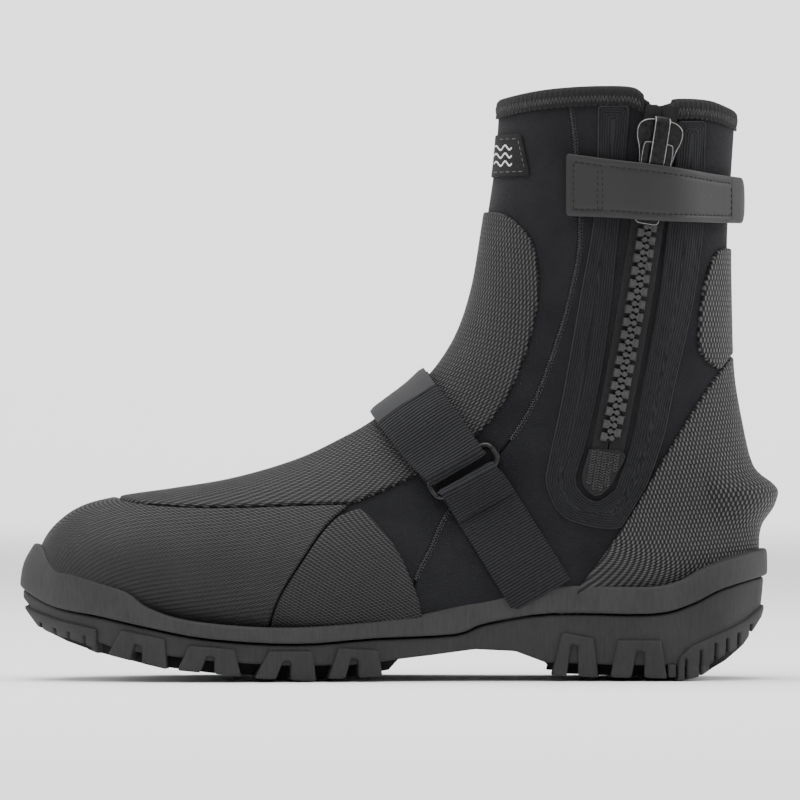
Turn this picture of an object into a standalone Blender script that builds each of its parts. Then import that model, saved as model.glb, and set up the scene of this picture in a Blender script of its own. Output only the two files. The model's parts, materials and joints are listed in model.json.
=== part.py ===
"""A neoprene water sports boot for the right foot, seen with its toe to -X, its heel to +X and its inner
(medial) side to -Y. Metres, +Z up, origin under the middle of the sole on the ground.

The upper is lofted through stations that run from the collar round the heel to the toe. Every layer of
the boot, from the inner gusset to the rubber guards, is that same form at its own lift from the neoprene's
outer face, cut to an outline in the X-Z plane."""

import math
from collections import namedtuple

import bmesh
import bpy
import numpy as np
from mathutils import Matrix, Vector
from mathutils.bvhtree import BVHTree

MM = 0.001
GAP = 0.3 * MM

# Layers, as lifts from the neoprene's outer face
NEOPRENE = 4.5 * MM
GUSSET = 2.0 * MM
RUBBER = 1.5 * MM
TAPE = 0.6 * MM
BINDING = 1.0 * MM
WEBBING = 1.5 * MM
CHAIN_FLOOR = 1.2 * MM
CHAIN_TOP = 2.9 * MM
U_TAPE_TOP = 1.5 * MM
RUBBER_TOP = GAP + RUBBER
PATCH_TOP = 1.9 * MM
LOOP_TOP = 1.3 * MM
HOOK_TOP = 2.5 * MM

# In millimetres: half a gap between two panels, between two guards, how far the neoprene stops under the
# collar's edge, and how far down the binding comes
HALF_GAP = 0.15
GUARD_MARGIN = 0.2
BINDING_FOLD = 1.4
BINDING_DEPTH = 7.0

# Sole
MIDSOLE_ABOVE_FLOOR = 4.5 * MM
INSOLE_THICKNESS = 5.0 * MM
UPPER_ABOVE_FLOOR = (MIDSOLE_ABOVE_FLOOR + GAP) / MM
CHANNEL_WIDTH = 7.0 * MM
CHANNEL_TOP = 7.0

# Mesh density
SECTIONS = 27
AROUND = 22

Station = namedtuple(
    "Station", "front back medial lateral front_power back_power front_y back_y reach"
)

# The form of the foot, in millimetres: the points (x, z) of each section's front and back ends, its half
# widths, how blunt its ends are, how far its ends lie off centre, and how far it follows a lift forwards.
STATIONS = (
    Station((40.3, 240), (135.6, 240), 37.0, 37.0, 0.50, 0.50, 0, 0, 0),
    Station((38.5, 210), (133.5, 208), 37.5, 37.5, 0.50, 0.50, 0, 0, 0),
    Station((34.2, 180), (131.6, 178), 37.5, 37.5, 0.50, 0.50, 0, 0, 0),
    Station((30.3, 157), (131.8, 148), 37.5, 37.5, 0.50, 0.50, 0, 0, 0),
    Station((24.5, 139), (132.8, 122), 37.0, 38.0, 0.50, 0.50, 0, 0, 0),
    Station((16.5, 125.5), (136.5, 100), 36.5, 38.5, 0.50, 0.50, -1, 0, 0),
    Station((7.5, 115.8), (141.0, 78), 36.0, 39.0, 0.50, 0.47, -1, 0, 0),
    Station((-2.5, 108.0), (142.6, 54), 36.0, 40.0, 0.50, 0.42, -2, 0, 0),
    Station((-13, 100.5), (140, 32), 36.5, 41.0, 0.50, 0.34, -2, 0, 0),
    Station((-24, 94.5), (116, 24), 37.0, 43.0, 0.50, 0.25, -3, 0, 0),
    Station((-37, 88.2), (70, 22.5), 39.0, 45.0, 0.50, 0.20, -5, 0, 0),
    Station((-52, 83.0), (20, 19), 43.0, 47.0, 0.48, 0.18, -7, 0, 0),
    Station((-70, 78.4), (-30, 15), 47.0, 48.0, 0.45, 0.17, -9, 0, 0),
    Station((-91, 75.0), (-70, 16.5), 48.0, 45.0, 0.42, 0.17, -10, 0, 0),
    Station((-112, 71.9), (-102, 22), 44.5, 38.5, 0.40, 0.18, -11, -2, 0),
    Station((-128, 67.5), (-120, 26.5), 37.0, 29.0, 0.40, 0.20, -12, -6, 0.15),
    Station((-139, 58.5), (-132, 30), 28.0, 20.0, 0.42, 0.30, -13, -9, 0.55),
    Station((-144.5, 47), (-140, 33), 16.0, 12.0, 0.50, 0.50, -13, -11, 1.0),
)
COLLAR_HEIGHT = 250 * MM

# Lines in the X-Z plane, in millimetres
FLOOR = (
    (-152, 38), (-132, 30), (-110, 23.5), (-75, 17), (-30, 15), (20, 19), (70, 22.5), (116, 24),
    (156, 26),
)
COLLAR = (
    (30, 231), (50, 235), (64, 236.6), (80, 237.2), (93, 236.6), (98.5, 233), (104, 230.6),
    (112, 232.2), (124, 231.8), (132, 229.6), (146, 224),
)
FRONT_SEAM = (
    (66, 245), (68, 228), (70, 210), (71.6, 177), (68, 155), (62, 134), (53.6, 112), (43, 95), (30, 80),
    (18.4, 66.4), (12, 52.8), (6, 40), (0, 10),
)
GUARD_EDGE = ((30, 187.8), (40, 187.2), (46.4, 183.6), (51.2, 178.4), (54, 172.8), (56, 158), (53.2, 139.2),
              (44.8, 116.4), (33.6, 100.4), (20, 90.5), (6.4, 81.6), (-6, 75.5), (-19.2, 70))
TOE_LINE = ((-19.2, 70), (-40, 69.4), (-60, 68.6), (-80, 68.4), (-100, 69.4), (-112, 71.5), (-121, 76))
CREASE = ((-19.2, 70), (-29.6, 60.8), (-38.8, 48), (-48, 33.6), (-52, 22), (-54, 8))
WEDGE_EDGE = ((-19.2, 70), (-13.2, 66.6), (-7, 60), (-0.8, 52), (5.2, 39.2), (8.8, 27.6), (10, 8))
HEEL_EDGE = (
    (142, 135), (134.4, 131.5), (127.6, 123.6), (117.6, 109.2), (103.6, 86.4), (89.2, 62), (73.2, 40),
    (58, 22),
)
ACHILLES = (
    (140, 172.9), (128.4, 172.7), (124.8, 169.2), (122, 161.6), (119.5, 148), (118.8, 134),
    (121.2, 128.6), (126.5, 124.3),
)
U_OUTER = (
    (78.9, 229.2), (78.5, 205), (76.8, 181), (72, 154), (64.8, 113.6), (59.2, 87.6), (58.4, 77.6),
    (64.8, 65.6), (80.4, 60.8), (92, 61.5),
)
U_INNER = (
    (91.4, 229.2), (89.5, 205), (86.8, 179), (83.6, 147), (79.2, 118), (74, 94.8), (70, 79),
    (77.6, 71.6), (85.5, 76),
)
U_RIGHT_INNER = (
    (110.4, 223.2), (108.8, 205), (105.8, 179), (102.4, 150.8), (96.8, 120.4), (92, 94.8), (85.5, 76),
)
U_RIGHT_OUTER = (
    (121.6, 223.6), (121, 205), (120.4, 179), (116.4, 150), (109.2, 117.6), (104, 94), (92, 61.5),
)
BOTTOM_PATCH = ((75.4, 92.6), (89.2, 91.2), (86.4, 83.2), (82.8, 76.8), (77.6, 73.8), (72.4, 79.8))
LABEL = ((20, 218.4), (49, 218.4), (52.4, 201.4), (20, 201.4))
KICKER = ((128, 70), (142.8, 84.5), (151.4, 76), (152, 72.6), (145.8, 63.2), (134, 58))
KICKER_MIDDLE = (118, 0, 70)
KICKER_RADIUS = 34

# Zip: its straight run, and how far the chain bows to the rear of it
ZIP_HEAD = (103.2, 222)
ZIP_FOOT = (83.0, 94.4)
ZIP_BOW = 1.6
CHAIN_HALF = 3.9
STOP_HALF = 3.2
STOP_SHARES = (1.025, 1.045)
TAPE_HALF = 6.6
SLOT_HALF = 5.0

# Instep strap: edges of its upper run and of its lower run, and the middle of the ring between them

LOWER_RUN = ((19.4, 69.9), (41.4, 83.7), (55.6, 61.6), (70, 39.2), (74, 33), (48, 30), (36.4, 45.6))
RING_MIDDLE = (26.2, 82.6)
RING_ANGLE = math.radians(32)
RING_LENGTH = 32.0 * MM
LATERAL_FOOT = ((72, 34), (46, 31))
STRAP_RIDGE = ((-16.4, 110), (11.2, 130))
TAIL_TOP = ((-8.0, 103.6), (11.6, 118.4))
TAB_LOW = ((-8.4, 104.1), (11.3, 118.9))
RING_WIDTH = 12.0 * MM
RING_WIRE = 1.3 * MM
STRAP_WIDTH = 26.0 * MM

# Ankle strap
STRAP_BACK_TOP = ((67, 210.2), (84.4, 207.6), (99.6, 205.6), (115.2, 203.2), (133.2, 201.0), (150, 199.0))
STRAP_BACK_LOW = ((67, 185.2), (84.4, 184.4), (99.6, 183.2), (115.2, 182.8), (130.4, 182.8), (150, 183.2))
STRAP_HINGE_X = 82.0
LOOP_PATCH = (122.4, 185.2, 131.6, 198.6)
STRAP_LIFTS = ((60, 1.8), (80, 1.8), (92, 7.2), (110, 7.2), (122, 2.9), (150, 2.9))
STRAP_THICKNESS = 2.0 * MM

# Outline of the sole seen from above, in millimetres, once round
SOLE_PLAN = (
    (-152, -11), (-147.5, -29), (-131, -44), (-104, -52.4), (-66, -54.5), (-24, -48.5), (22, -41.5),
    (64, -39), (104, -40.2), (131, -34), (144.6, -17), (147.6, 0), (144.6, 18), (131, 35.5), (104, 43),
    (64, 47.5), (20, 51.8), (-20, 54.3), (-56, 54), (-90, 48.2), (-120, 35), (-141, 15),
)
RAND_TOP = (
    (-158, 57.5), (-144.8, 54.6), (-139.2, 47.6), (-123.2, 40.6), (-109, 36), (-100, 29.6), (-84, 24.6),
    (-52, 21.8), (-22, 22.9), (8.8, 26.8), (35.6, 34.2), (61, 38), (96, 37.6), (110, 39.4), (123, 45.6),
    (144, 52), (156, 53.4),
)
GROOVE = (
    (-158, 41), (-148, 34), (-137, 28.8), (-120, 25.8), (-100, 21.4), (-76, 17), (-41, 14.9), (-10, 17),
    (22, 18.6), (34, 22.8), (60, 26.8), (100, 26.6), (116, 30.4), (130, 36.8), (156, 43.4),
)
TOE_FACE = ((-144.8, 57), (-150.4, 47), (-152, 36), (-151, 29), (-144.8, 20.8))
TOE_UNDER = ((-144.8, 20.8), (-132.4, 15.2), (-121.2, 11.4))
HEEL_UNDER = ((111, 0), (120, 1.8), (130, 7.4), (138, 13.6), (145, 24))
HEEL_FACE = ((145, 24), (147.2, 36), (147.6, 50), (146, 58))
# Each lug: its two lower corners, its two upper corners
LUGS = (
    ((-116.4, 9.6), (-92.4, 3.8), (-93.2, 17.0), (-110.8, 20.6)),
    ((-88.4, 3.2), (-62.8, 0.8), (-65.6, 13.4), (-83.6, 14.8)),
    ((-57.6, 0), (-33.2, 0), (-34.4, 12.4), (-52.0, 12.4)),
    ((-28.4, 0), (-6.8, 0), (-8.4, 13.4), (-24.4, 12.8)),
)
HEEL_LUGS = (
    ((59.6, 0), (79.2, 0), (77.2, 17.2), (64.4, 19.2)),
    ((83.6, 0), (106.6, 0), (104.0, 16.2), (86.4, 16.2)),
)
ARCH = ((0, 9.0), (12, 10.4), (30, 12.8), (46, 12.0), (56, 8.6))


def mm(points):
    return np.array(points, float) * MM


def smooth(points, per_span=4):
    """A Catmull-Rom curve through hand-set points, with its ends included."""
    points = np.array(points, float)
    padded = np.vstack([2 * points[0] - points[1], points, 2 * points[-1] - points[-2]])
    rows = []
    for i in range(1, len(padded) - 2):
        a, b, c, d = padded[i - 1 : i + 3]
        for step in range(per_span):
            t = step / per_span
            bend = (2 * a - 5 * b + 4 * c - d) * t**2 + (3 * b - a - 3 * c + d) * t**3
            rows.append(0.5 * (2 * b + (c - a) * t + bend))
    return np.array(rows + [points[-1]])


def closed_smooth(points, per_span=3):
    """The same curve closed on itself."""
    ring = list(points) + list(points[:3])
    return smooth(ring, per_span)[per_span : per_span + len(points) * per_span]


def shifted(line, distance):
    """A line moved sideways, to the left of its direction, by a distance in millimetres."""
    line = np.array(line, float)
    run = np.gradient(line, axis=0)
    run /= np.linalg.norm(run, axis=1)[:, None]
    return line + distance * np.stack([-run[:, 1], run[:, 0]], axis=1)


def height(line, x):
    line = np.array(line, float)
    return np.interp(x, line[:, 0], line[:, 1])


# ---------------------------------------------------------------------------------------------- scene


def clear_scene():
    for old in list(bpy.data.objects):
        bpy.data.objects.remove(old, do_unlink=True)


def new_collection(name):
    collection = bpy.data.collections.new(name)
    bpy.context.scene.collection.children.link(collection)
    return collection


def material(name, colour, roughness, metallic=0.0):
    made = bpy.data.materials.new(name)
    made.use_nodes = True
    shader = made.node_tree.nodes["Principled BSDF"]
    shader.inputs["Base Color"].default_value = (*colour, 1)
    shader.inputs["Roughness"].default_value = roughness
    shader.inputs["Metallic"].default_value = metallic
    made.diffuse_color = (*colour, 1)
    return made


def new_object(name, mesh, surface=None, collection=None):
    made = bpy.data.objects.new(name, mesh)
    (collection or PARTS).objects.link(made)
    if surface:
        mesh.materials.append(surface)
        mesh.shade_smooth()
        mesh.set_sharp_from_angle(angle=math.radians(40))
    else:
        made.hide_render = True
        made.display_type = "WIRE"
    return made


def mesh_from(name, bm):
    bmesh.ops.recalc_face_normals(bm, faces=bm.faces)
    mesh = bpy.data.meshes.new(name)
    bm.to_mesh(mesh)
    bm.free()
    return mesh


def carve(piece, operation, *cutters):
    for cutter in cutters:
        boolean = piece.modifiers.new(f"{operation.lower()} {cutter.name}", "BOOLEAN")
        boolean.operation = operation
        boolean.solver = "EXACT"
        boolean.object = cutter
    return piece


def set_origin(piece, origin):
    piece.data.transform(Matrix.Translation(-origin))
    piece.location = origin


# --------------------------------------------------------------------------------------- the foot form


def station_rows():
    """Every station's numbers in one smooth sequence, in metres where they are lengths."""
    rows = []
    for station in STATIONS:
        lengths = (*station.front, *station.back, station.medial, station.lateral, station.front_y,
                   station.back_y)
        powers = (station.front_power, station.back_power, station.reach)
        rows.append([*(length * MM for length in lengths), *powers])
    return np.array(rows)


def form_rows(sections=SECTIONS):
    curve = smooth(station_rows(), 8)
    return np.array([curve[round(i)] for i in np.linspace(0, len(curve) - 1, sections)])


def section(row, lift, angles):
    """One section as points: angle 0 is its front end, pi its back end, and 0 to pi its medial side."""
    front_x, front_z, back_x, back_z, medial, lateral, front_y, back_y, front_power, back_power, reach = row
    front, back = np.array([front_x, front_z]), np.array([back_x, back_z])
    axis = (back - front) / np.linalg.norm(back - front)
    front, back = front - axis * lift, back + axis * lift
    along = (1 - np.cos(angles)) / 2
    peak = front_power / (front_power + back_power)
    most = peak**front_power * (1 - peak) ** back_power
    width = along**front_power * (1 - along) ** back_power / most
    half = np.where(np.sin(angles) >= 0, -(medial + lift), lateral + lift)
    x = front[0] + (back[0] - front[0]) * along - reach * lift
    z = front[1] + (back[1] - front[1]) * along
    y = front_y + (back_y - front_y) * along + half * width
    return np.stack([x, y, z], axis=1)


def form_points(lift, sections=SECTIONS, around=AROUND):
    rows = form_rows(sections)
    rows[0, 1] = rows[0, 3] = COLLAR_HEIGHT - lift
    angles = np.arange(around) * 2 * math.pi / around
    return [section(row, lift, angles) for row in rows]


def form_mesh(name, lift):
    """The closed form of the foot at a lift from the neoprene's outer face."""
    bm = bmesh.new()
    rings = [[bm.verts.new(point) for point in ring] for ring in form_points(lift)]
    for upper, lower in zip(rings, rings[1:]):
        for i in range(AROUND):
            j = (i + 1) % AROUND
            bm.faces.new((upper[i], upper[j], lower[j], lower[i]))
    bm.faces.new(rings[0])
    bm.faces.new(rings[-1])
    bmesh.ops.recalc_face_normals(bm, faces=bm.faces)
    bmesh.ops.triangulate(bm, faces=bm.faces, quad_method="FIXED", ngon_method="BEAUTY")
    return mesh_from(name, bm)


FORMS = {}


def form(lift):
    """The form at this lift as a cutter, made once."""
    key = round(lift / MM, 2)
    if key not in FORMS:
        name = f"form_{key:+.1f}_mm"
        FORMS[key] = new_object(name, form_mesh(name, lift), collection=CUTTERS)
    return FORMS[key]


def layer(name, surface, inner, outer):
    """A shell of the form between two lifts, closed at the toe."""
    return carve(new_object(name, form_mesh(name, outer), surface), "DIFFERENCE", form(inner))


def prism(name, outline, low=-90, high=90):
    """A cutter: an outline in the X-Z plane run along Y. All in millimetres."""
    bm = bmesh.new()
    outline = mm(outline)
    face = bm.faces.new([bm.verts.new((x, low * MM, z)) for x, z in outline])
    made = bmesh.ops.extrude_face_region(bm, geom=[face])
    moved = [item for item in made["geom"] if isinstance(item, bmesh.types.BMVert)]
    bmesh.ops.translate(bm, vec=(0, (high - low) * MM, 0), verts=moved)
    return new_object(name, mesh_from(name, bm), collection=CUTTERS)


def band(line_a, line_b):
    """The outline between two lines that run the same way."""
    return np.vstack([line_a, np.array(line_b)[::-1]])


def raised(line, by):
    return np.array(line, float) + (0, by)


def wall_point(x, z, lift=0.0):
    """The point and the outward direction of the medial wall at this x and z, in metres."""
    start = Vector((x, -0.2, z))
    point, normal, _, _ = WALL.ray_cast(start, Vector((0, 1, 0)))
    if normal.y > 0:
        normal = -normal
    return point + normal * lift, normal


# ------------------------------------------------------------------------------------------ the upper


def front_of(margin, *lines):
    """All that lies in front of lines that run downwards end to end, less a margin."""
    first, *others = [shifted(smooth(line, 3), -margin) for line in lines]
    edge = np.vstack([first, *(other[1:] for other in others)])
    return np.vstack([[(-190, edge[0][1])], edge, [(-190, edge[-1][1])]])


def behind(line, margin):
    edge = shifted(smooth(line, 3), margin)
    return np.vstack([[(190, edge[0][1])], edge, [(190, edge[-1][1])]])


def everything_above(line, by=0.0):
    line = smooth(line, 3)
    return np.vstack([raised(line, by), [(line[-1][0], 300), (line[0][0], 300)]])


def everything_below(line, by=0.0):
    line = smooth(line, 3)
    return np.vstack([raised(line, by), [(line[-1][0], -40), (line[0][0], -40)]])


def chain_line(offset, start=0.0, end=1.0, count=9):
    """The chain's middle, moved to the rear by an offset. Start and end are shares of the way from its
    foot to its head."""
    (foot_x, foot_z), (head_x, head_z) = ZIP_FOOT, ZIP_HEAD
    share = np.linspace(start, end, count)
    bow = 4 * ZIP_BOW * np.clip(share * (1 - share), 0, None)
    x = foot_x + (head_x - foot_x) * share + bow + offset
    return np.stack([x, foot_z + (head_z - foot_z) * share], axis=1)


def chain_band(low, high, start=0.0, end=1.0):
    return band(chain_line(low, start, end), chain_line(high, start, end))


def make_neoprene():
    skin = material("neoprene", (0.022, 0.022, 0.024), 0.85)
    room = prism("neoprene_room", neoprene_outline())
    slot = prism("zip_slot", chain_band(-SLOT_HALF, SLOT_HALF, -0.02, 1.3), high=0)
    medial = prism("medial_quarter_zone", behind(FRONT_SEAM, HALF_GAP), high=-HALF_GAP)
    lateral = prism("lateral_quarter_zone", behind(FRONT_SEAM, HALF_GAP), low=HALF_GAP)
    front = prism("front_zone", front_of(HALF_GAP, FRONT_SEAM))
    for name, zone in (("front_panel", front), ("medial_quarter", medial), ("lateral_quarter", lateral)):
        panel = layer(name, skin, -NEOPRENE, 0)
        carve(panel, "INTERSECT", room, zone)
        if zone is medial:
            carve(panel, "DIFFERENCE", slot)


def neoprene_outline():
    floor = raised(smooth(FLOOR, 3), UPPER_ABOVE_FLOOR)
    collar = raised(smooth(COLLAR, 3), -BINDING_FOLD)[::-1]
    return np.vstack([floor, collar, [(floor[0][0], collar[-1][1])]])


def make_collar():
    knit = material("collar_binding", (0.016, 0.016, 0.018), 0.9)
    top = smooth(COLLAR, 3)
    binding = new_object("collar_binding", form_mesh("collar_binding", GAP + BINDING), knit)
    carve(binding, "INTERSECT", prism("collar_zone", band(raised(top, -BINDING_DEPTH), top)))
    carve(binding, "DIFFERENCE", form(-NEOPRENE - GAP - BINDING))
    sleeve = new_object("collar_sleeve", form_mesh("collar_sleeve", GAP), collection=CUTTERS)
    carve(sleeve, "DIFFERENCE", form(-NEOPRENE - GAP))
    inside = band(raised(top, -20), raised(top, 2 * HALF_GAP - BINDING_FOLD))
    carve(sleeve, "INTERSECT", prism("sleeve_zone", inside))
    carve(binding, "DIFFERENCE", sleeve)
    notch_half = TAPE_HALF + 0.6
    notch = chain_band(-notch_half, notch_half, 0.9, 1.3)
    carve(binding, "DIFFERENCE", prism("collar_notch", notch, high=0))


def make_guards(zones):
    rubber = material("textured_rubber", (0.075, 0.075, 0.075), 0.6)
    crease = shifted(smooth(CREASE, 3), GUARD_MARGIN)[2:]
    wedge = shifted(smooth(WEDGE_EDGE, 3), -GUARD_MARGIN)[2:]
    outlines = {
        "shin_guard": front_of(GUARD_MARGIN, GUARD_EDGE, TOE_LINE),
        "toe_cap": front_of(GUARD_MARGIN, TOE_LINE[::-1], CREASE),
        "medial_toe_wedge": band(crease, wedge),
        "lateral_toe_wedge": band(crease, wedge),
        "heel_cap": behind(HEEL_EDGE, 0),
        "achilles_patch": np.vstack([smooth(ACHILLES, 3), [(150, 120)]]),
    }
    sides = {"medial_toe_wedge": (-90, 0), "lateral_toe_wedge": (0, 90)}
    for name, outline in outlines.items():
        guard = layer(name, rubber, GAP, RUBBER_TOP)
        low, high = sides.get(name, (-90, 90))
        carve(guard, "INTERSECT", zones["upper"], prism(f"{name}_zone", outline, low, high))
        if name == "achilles_patch":
            carve(guard, "DIFFERENCE", zones["heel"])
        if name == "heel_cap":
            carve(guard, "UNION", kicker_block())


def kicker_block():
    """The ridge across the back of the heel that the other foot pushes against to take the boot off."""
    bm = bmesh.new()
    place = Matrix.Translation(Vector(KICKER_MIDDLE) * MM)
    radius, depth = KICKER_RADIUS * MM, 60 * MM
    bmesh.ops.create_cone(
        bm, cap_ends=True, segments=40, radius1=radius, radius2=radius, depth=depth, matrix=place
    )
    block = new_object("kicker_block", mesh_from("kicker_block", bm), collection=CUTTERS)
    carve(block, "INTERSECT", prism("kicker_zone", KICKER, -30, 30))
    return carve(block, "DIFFERENCE", form(1.0 * MM))


def make_label():
    cloth = material("label", (0.012, 0.012, 0.013), 0.7)
    carve(layer("label", cloth, GAP, GAP + TAPE), "INTERSECT", prism("label_zone", LABEL))


# ----------------------------------------------------------------------------------------------- the sole


def sole_side():
    """The sole seen from the side, with its lugs, once round from the toe's top."""
    outline = [*TOE_FACE, *TOE_UNDER[1:], (-119.5, 17.5)]
    for low_front, low_back, high_back, high_front in LUGS:
        outline += [high_front, low_front, low_back, high_back]
    outline += [(-4.5, 12), *ARCH]
    for low_front, low_back, high_back, high_front in HEEL_LUGS:
        if (low_front, high_front) != (HEEL_LUGS[0][0], HEEL_LUGS[0][3]):
            outline.append(high_front)
        outline += [low_front, low_back, high_back]
    outline += [(108.6, 15), *HEEL_UNDER, *HEEL_FACE[1:], (146, 70), (-144.8, 70)]
    return outline


def sole_block(name, surface):
    """The sole's plan outline run upwards, cut to its side view and hollowed for the upper."""
    bm = bmesh.new()
    face = bm.faces.new([bm.verts.new((x, y, -0.01)) for x, y in closed_smooth(SOLE_PLAN) * MM])
    made = bmesh.ops.extrude_face_region(bm, geom=[face])
    moved = [item for item in made["geom"] if isinstance(item, bmesh.types.BMVert)]
    bmesh.ops.translate(bm, vec=(0, 0, 0.09), verts=moved)
    return new_object(name, mesh_from(name, bm), surface)


def make_sole():
    rubber = material("sole_rubber", (0.05, 0.05, 0.052), 0.7)
    foam = material("midsole_foam", (0.03, 0.03, 0.03), 0.9)
    side = prism("sole_side", sole_side())
    above = prism("above_groove", everything_above(GROOVE, HALF_GAP))
    below = prism("below_groove", everything_below(GROOVE, -HALF_GAP))
    rand = sole_block("rand", rubber)
    carve(rand, "INTERSECT", side, above, prism("below_rand_top", everything_below(RAND_TOP)))
    outsole = carve(sole_block("outsole", rubber), "INTERSECT", side, below)
    hollow = form(RUBBER_TOP + GAP)
    carve(rand, "DIFFERENCE", hollow)
    carve(outsole, "DIFFERENCE", hollow)
    half = CHANNEL_WIDTH / MM / 2
    for name, start, end in (("forefoot_channel", -130, -5), ("heel_channel", 50, 118)):
        carve(outsole, "DIFFERENCE", prism(name, rectangle(start, -6, end, CHANNEL_TOP), -half, half))
    midsole = new_object("midsole", form_mesh("midsole", RUBBER_TOP), foam)
    carve(midsole, "INTERSECT", prism("midsole_zone", everything_below(FLOOR, MIDSOLE_ABOVE_FLOOR / MM)))
    insole = new_object("insole", form_mesh("insole", -NEOPRENE - GAP), foam)
    floor = raised(smooth(FLOOR, 3), UPPER_ABOVE_FLOOR)
    top = raised(floor, INSOLE_THICKNESS / MM)
    carve(insole, "INTERSECT", prism("insole_zone", band(floor, top)))


# ------------------------------------------------------------------------------------------------ the zip


def make_zip(zones):
    tape = material("zip_tape", (0.02, 0.02, 0.022), 0.8)
    teeth = material("zip_teeth", (0.03, 0.03, 0.033), 0.45)
    knit = material("u_tape", (0.018, 0.018, 0.02), 0.85)
    neoprene = material("gusset_neoprene", (0.02, 0.02, 0.022), 0.9)
    gusset = layer("zip_gusset", neoprene, -NEOPRENE - GAP - GUSSET, -NEOPRENE - GAP)
    carve(gusset, "INTERSECT", prism("gusset_zone", chain_band(-16, 16, -0.06, 1.0), high=0))
    for side, sign in (("front", -1), ("rear", 1)):
        lower, upper = CHAIN_FLOOR, CHAIN_TOP
        bands = (
            ("tape", tape, GAP, GAP + TAPE, chain_band(0.2 * sign, TAPE_HALF * sign, -0.01, 1.05)),
            ("chain", teeth, lower, upper, chain_band(0.2 * sign, CHAIN_HALF * sign)),
            ("top_stop", teeth, lower, upper, chain_band(0.4 * sign, STOP_HALF * sign, *STOP_SHARES)),
        )
        for kind, surface, inner, outer, outline in bands:
            zone = prism(f"{kind}_{side}_zone", outline, high=0)
            carve(layer(f"zip_{kind}_{side}", surface, inner, outer), "INTERSECT", zone)
    patch = layer("zip_bottom_patch", knit, CHAIN_FLOOR, PATCH_TOP)
    carve(patch, "INTERSECT", prism("bottom_patch_zone", BOTTOM_PATCH, high=0))
    front_leg = [smooth(U_INNER, 3), smooth(U_OUTER, 3)]
    rear_leg = [smooth(U_RIGHT_INNER, 3), smooth(U_RIGHT_OUTER, 3)]
    u_outline = np.vstack([front_leg[1], rear_leg[1][::-1], rear_leg[0], front_leg[0][::-1]])
    u_tape = layer("zip_u_tape", knit, GAP, U_TAPE_TOP)
    carve(u_tape, "INTERSECT", prism("u_tape_zone", without_repeats(u_outline), high=0))
    carve(u_tape, "DIFFERENCE", zones["heel"])


def without_repeats(outline, nearest=0.05):
    kept = [outline[0]]
    for point in outline[1:]:
        if np.linalg.norm(point - kept[-1]) > nearest:
            kept.append(point)
    if np.linalg.norm(kept[0] - kept[-1]) < nearest:
        kept.pop()
    return np.array(kept)


def zip_frame(height_mm):
    """The slide's own frame at a height: X across the chain to the rear, Y up the chain, Z outwards."""
    head, _ = wall_point(*(np.array(ZIP_HEAD) * MM))
    foot, _ = wall_point(*(np.array(ZIP_FOOT) * MM))
    up = (head - foot).normalized()
    share = (height_mm - ZIP_FOOT[1]) / (ZIP_HEAD[1] - ZIP_FOOT[1])
    middle = foot.lerp(head, share)
    front_edge, rear_edge = (wall_point(*(chain_line(offset, 0.5, 0.51, 2)[0] * MM))[0] for offset in (-8, 8))
    outward = (rear_edge - front_edge).cross(up).normalized()
    across = up.cross(outward)
    frame = Matrix((across, up, outward)).transposed().to_4x4()
    frame.translation = middle
    return frame


def block(name, outline, low, high, surface=None, collection=None):
    """A plate in its own X-Y plane, between two heights. All in millimetres."""
    bm = bmesh.new()
    face = bm.faces.new([bm.verts.new((x * MM, y * MM, low * MM)) for x, y in outline])
    made = bmesh.ops.extrude_face_region(bm, geom=[face])
    moved = [item for item in made["geom"] if isinstance(item, bmesh.types.BMVert)]
    bmesh.ops.translate(bm, vec=(0, 0, (high - low) * MM), verts=moved)
    return new_object(name, mesh_from(name, bm), surface, collection)


def rectangle(x0, y0, x1, y1):
    return [(x0, y0), (x1, y0), (x1, y1), (x0, y1)]


def rounded(x0, y0, x1, y1, radius, steps=3):
    points = []
    left, right, low, high = x0 + radius, x1 - radius, y0 + radius, y1 - radius
    corners = ((right, high, 0), (left, high, 90), (left, low, 180), (right, low, 270))
    for cx, cy, start in corners:
        for step in range(steps + 1):
            angle = math.radians(start + 90 * step / steps)
            points.append((cx + radius * math.cos(angle), cy + radius * math.sin(angle)))
    return points


SLIDER_MIDDLE_Z = 210.4
SLIDER_HALF = (8.4, 14.4)
SLIDER_PLATE = (3.7, 4.4)
FLANGE = (6.6, 8.0, 2.1)
CROWN_HALF = 2.6
CROWN = (-3.0, 12.0, 6.5)
CROWN_HOLE = (-0.6, 9.4, 6.0)
PULLER_AXIS = (3.2, 5.2)
PULLER_HALF = (6.4, 5.2)
PULLER_LENGTH = 32.0
PULLER_THICKNESS = 1.1
PULLER_WINDOW = (-3.8, -10.5, 3.8, -0.55)


def mirrored(half):
    """A closed outline from its rear half, whose points run downwards."""
    return half + [(-x, y) for x, y in reversed(half)]


def slider_outline():
    half_x, half_y = SLIDER_HALF
    waist = half_x - 2.6
    return mirrored([(half_x - 2, half_y), (half_x, half_y - 2), (half_x, 0), (waist, -5),
                     (waist, 1.5 - half_y), (half_x - 4.5, -half_y)])


def puller_outline():
    wide, narrow = PULLER_HALF
    return mirrored([(wide - 1.5, 0.55), (wide, -1), (wide, -12), (narrow, 2 - PULLER_LENGTH),
                     (narrow - 1.6, -PULLER_LENGTH)])


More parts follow.
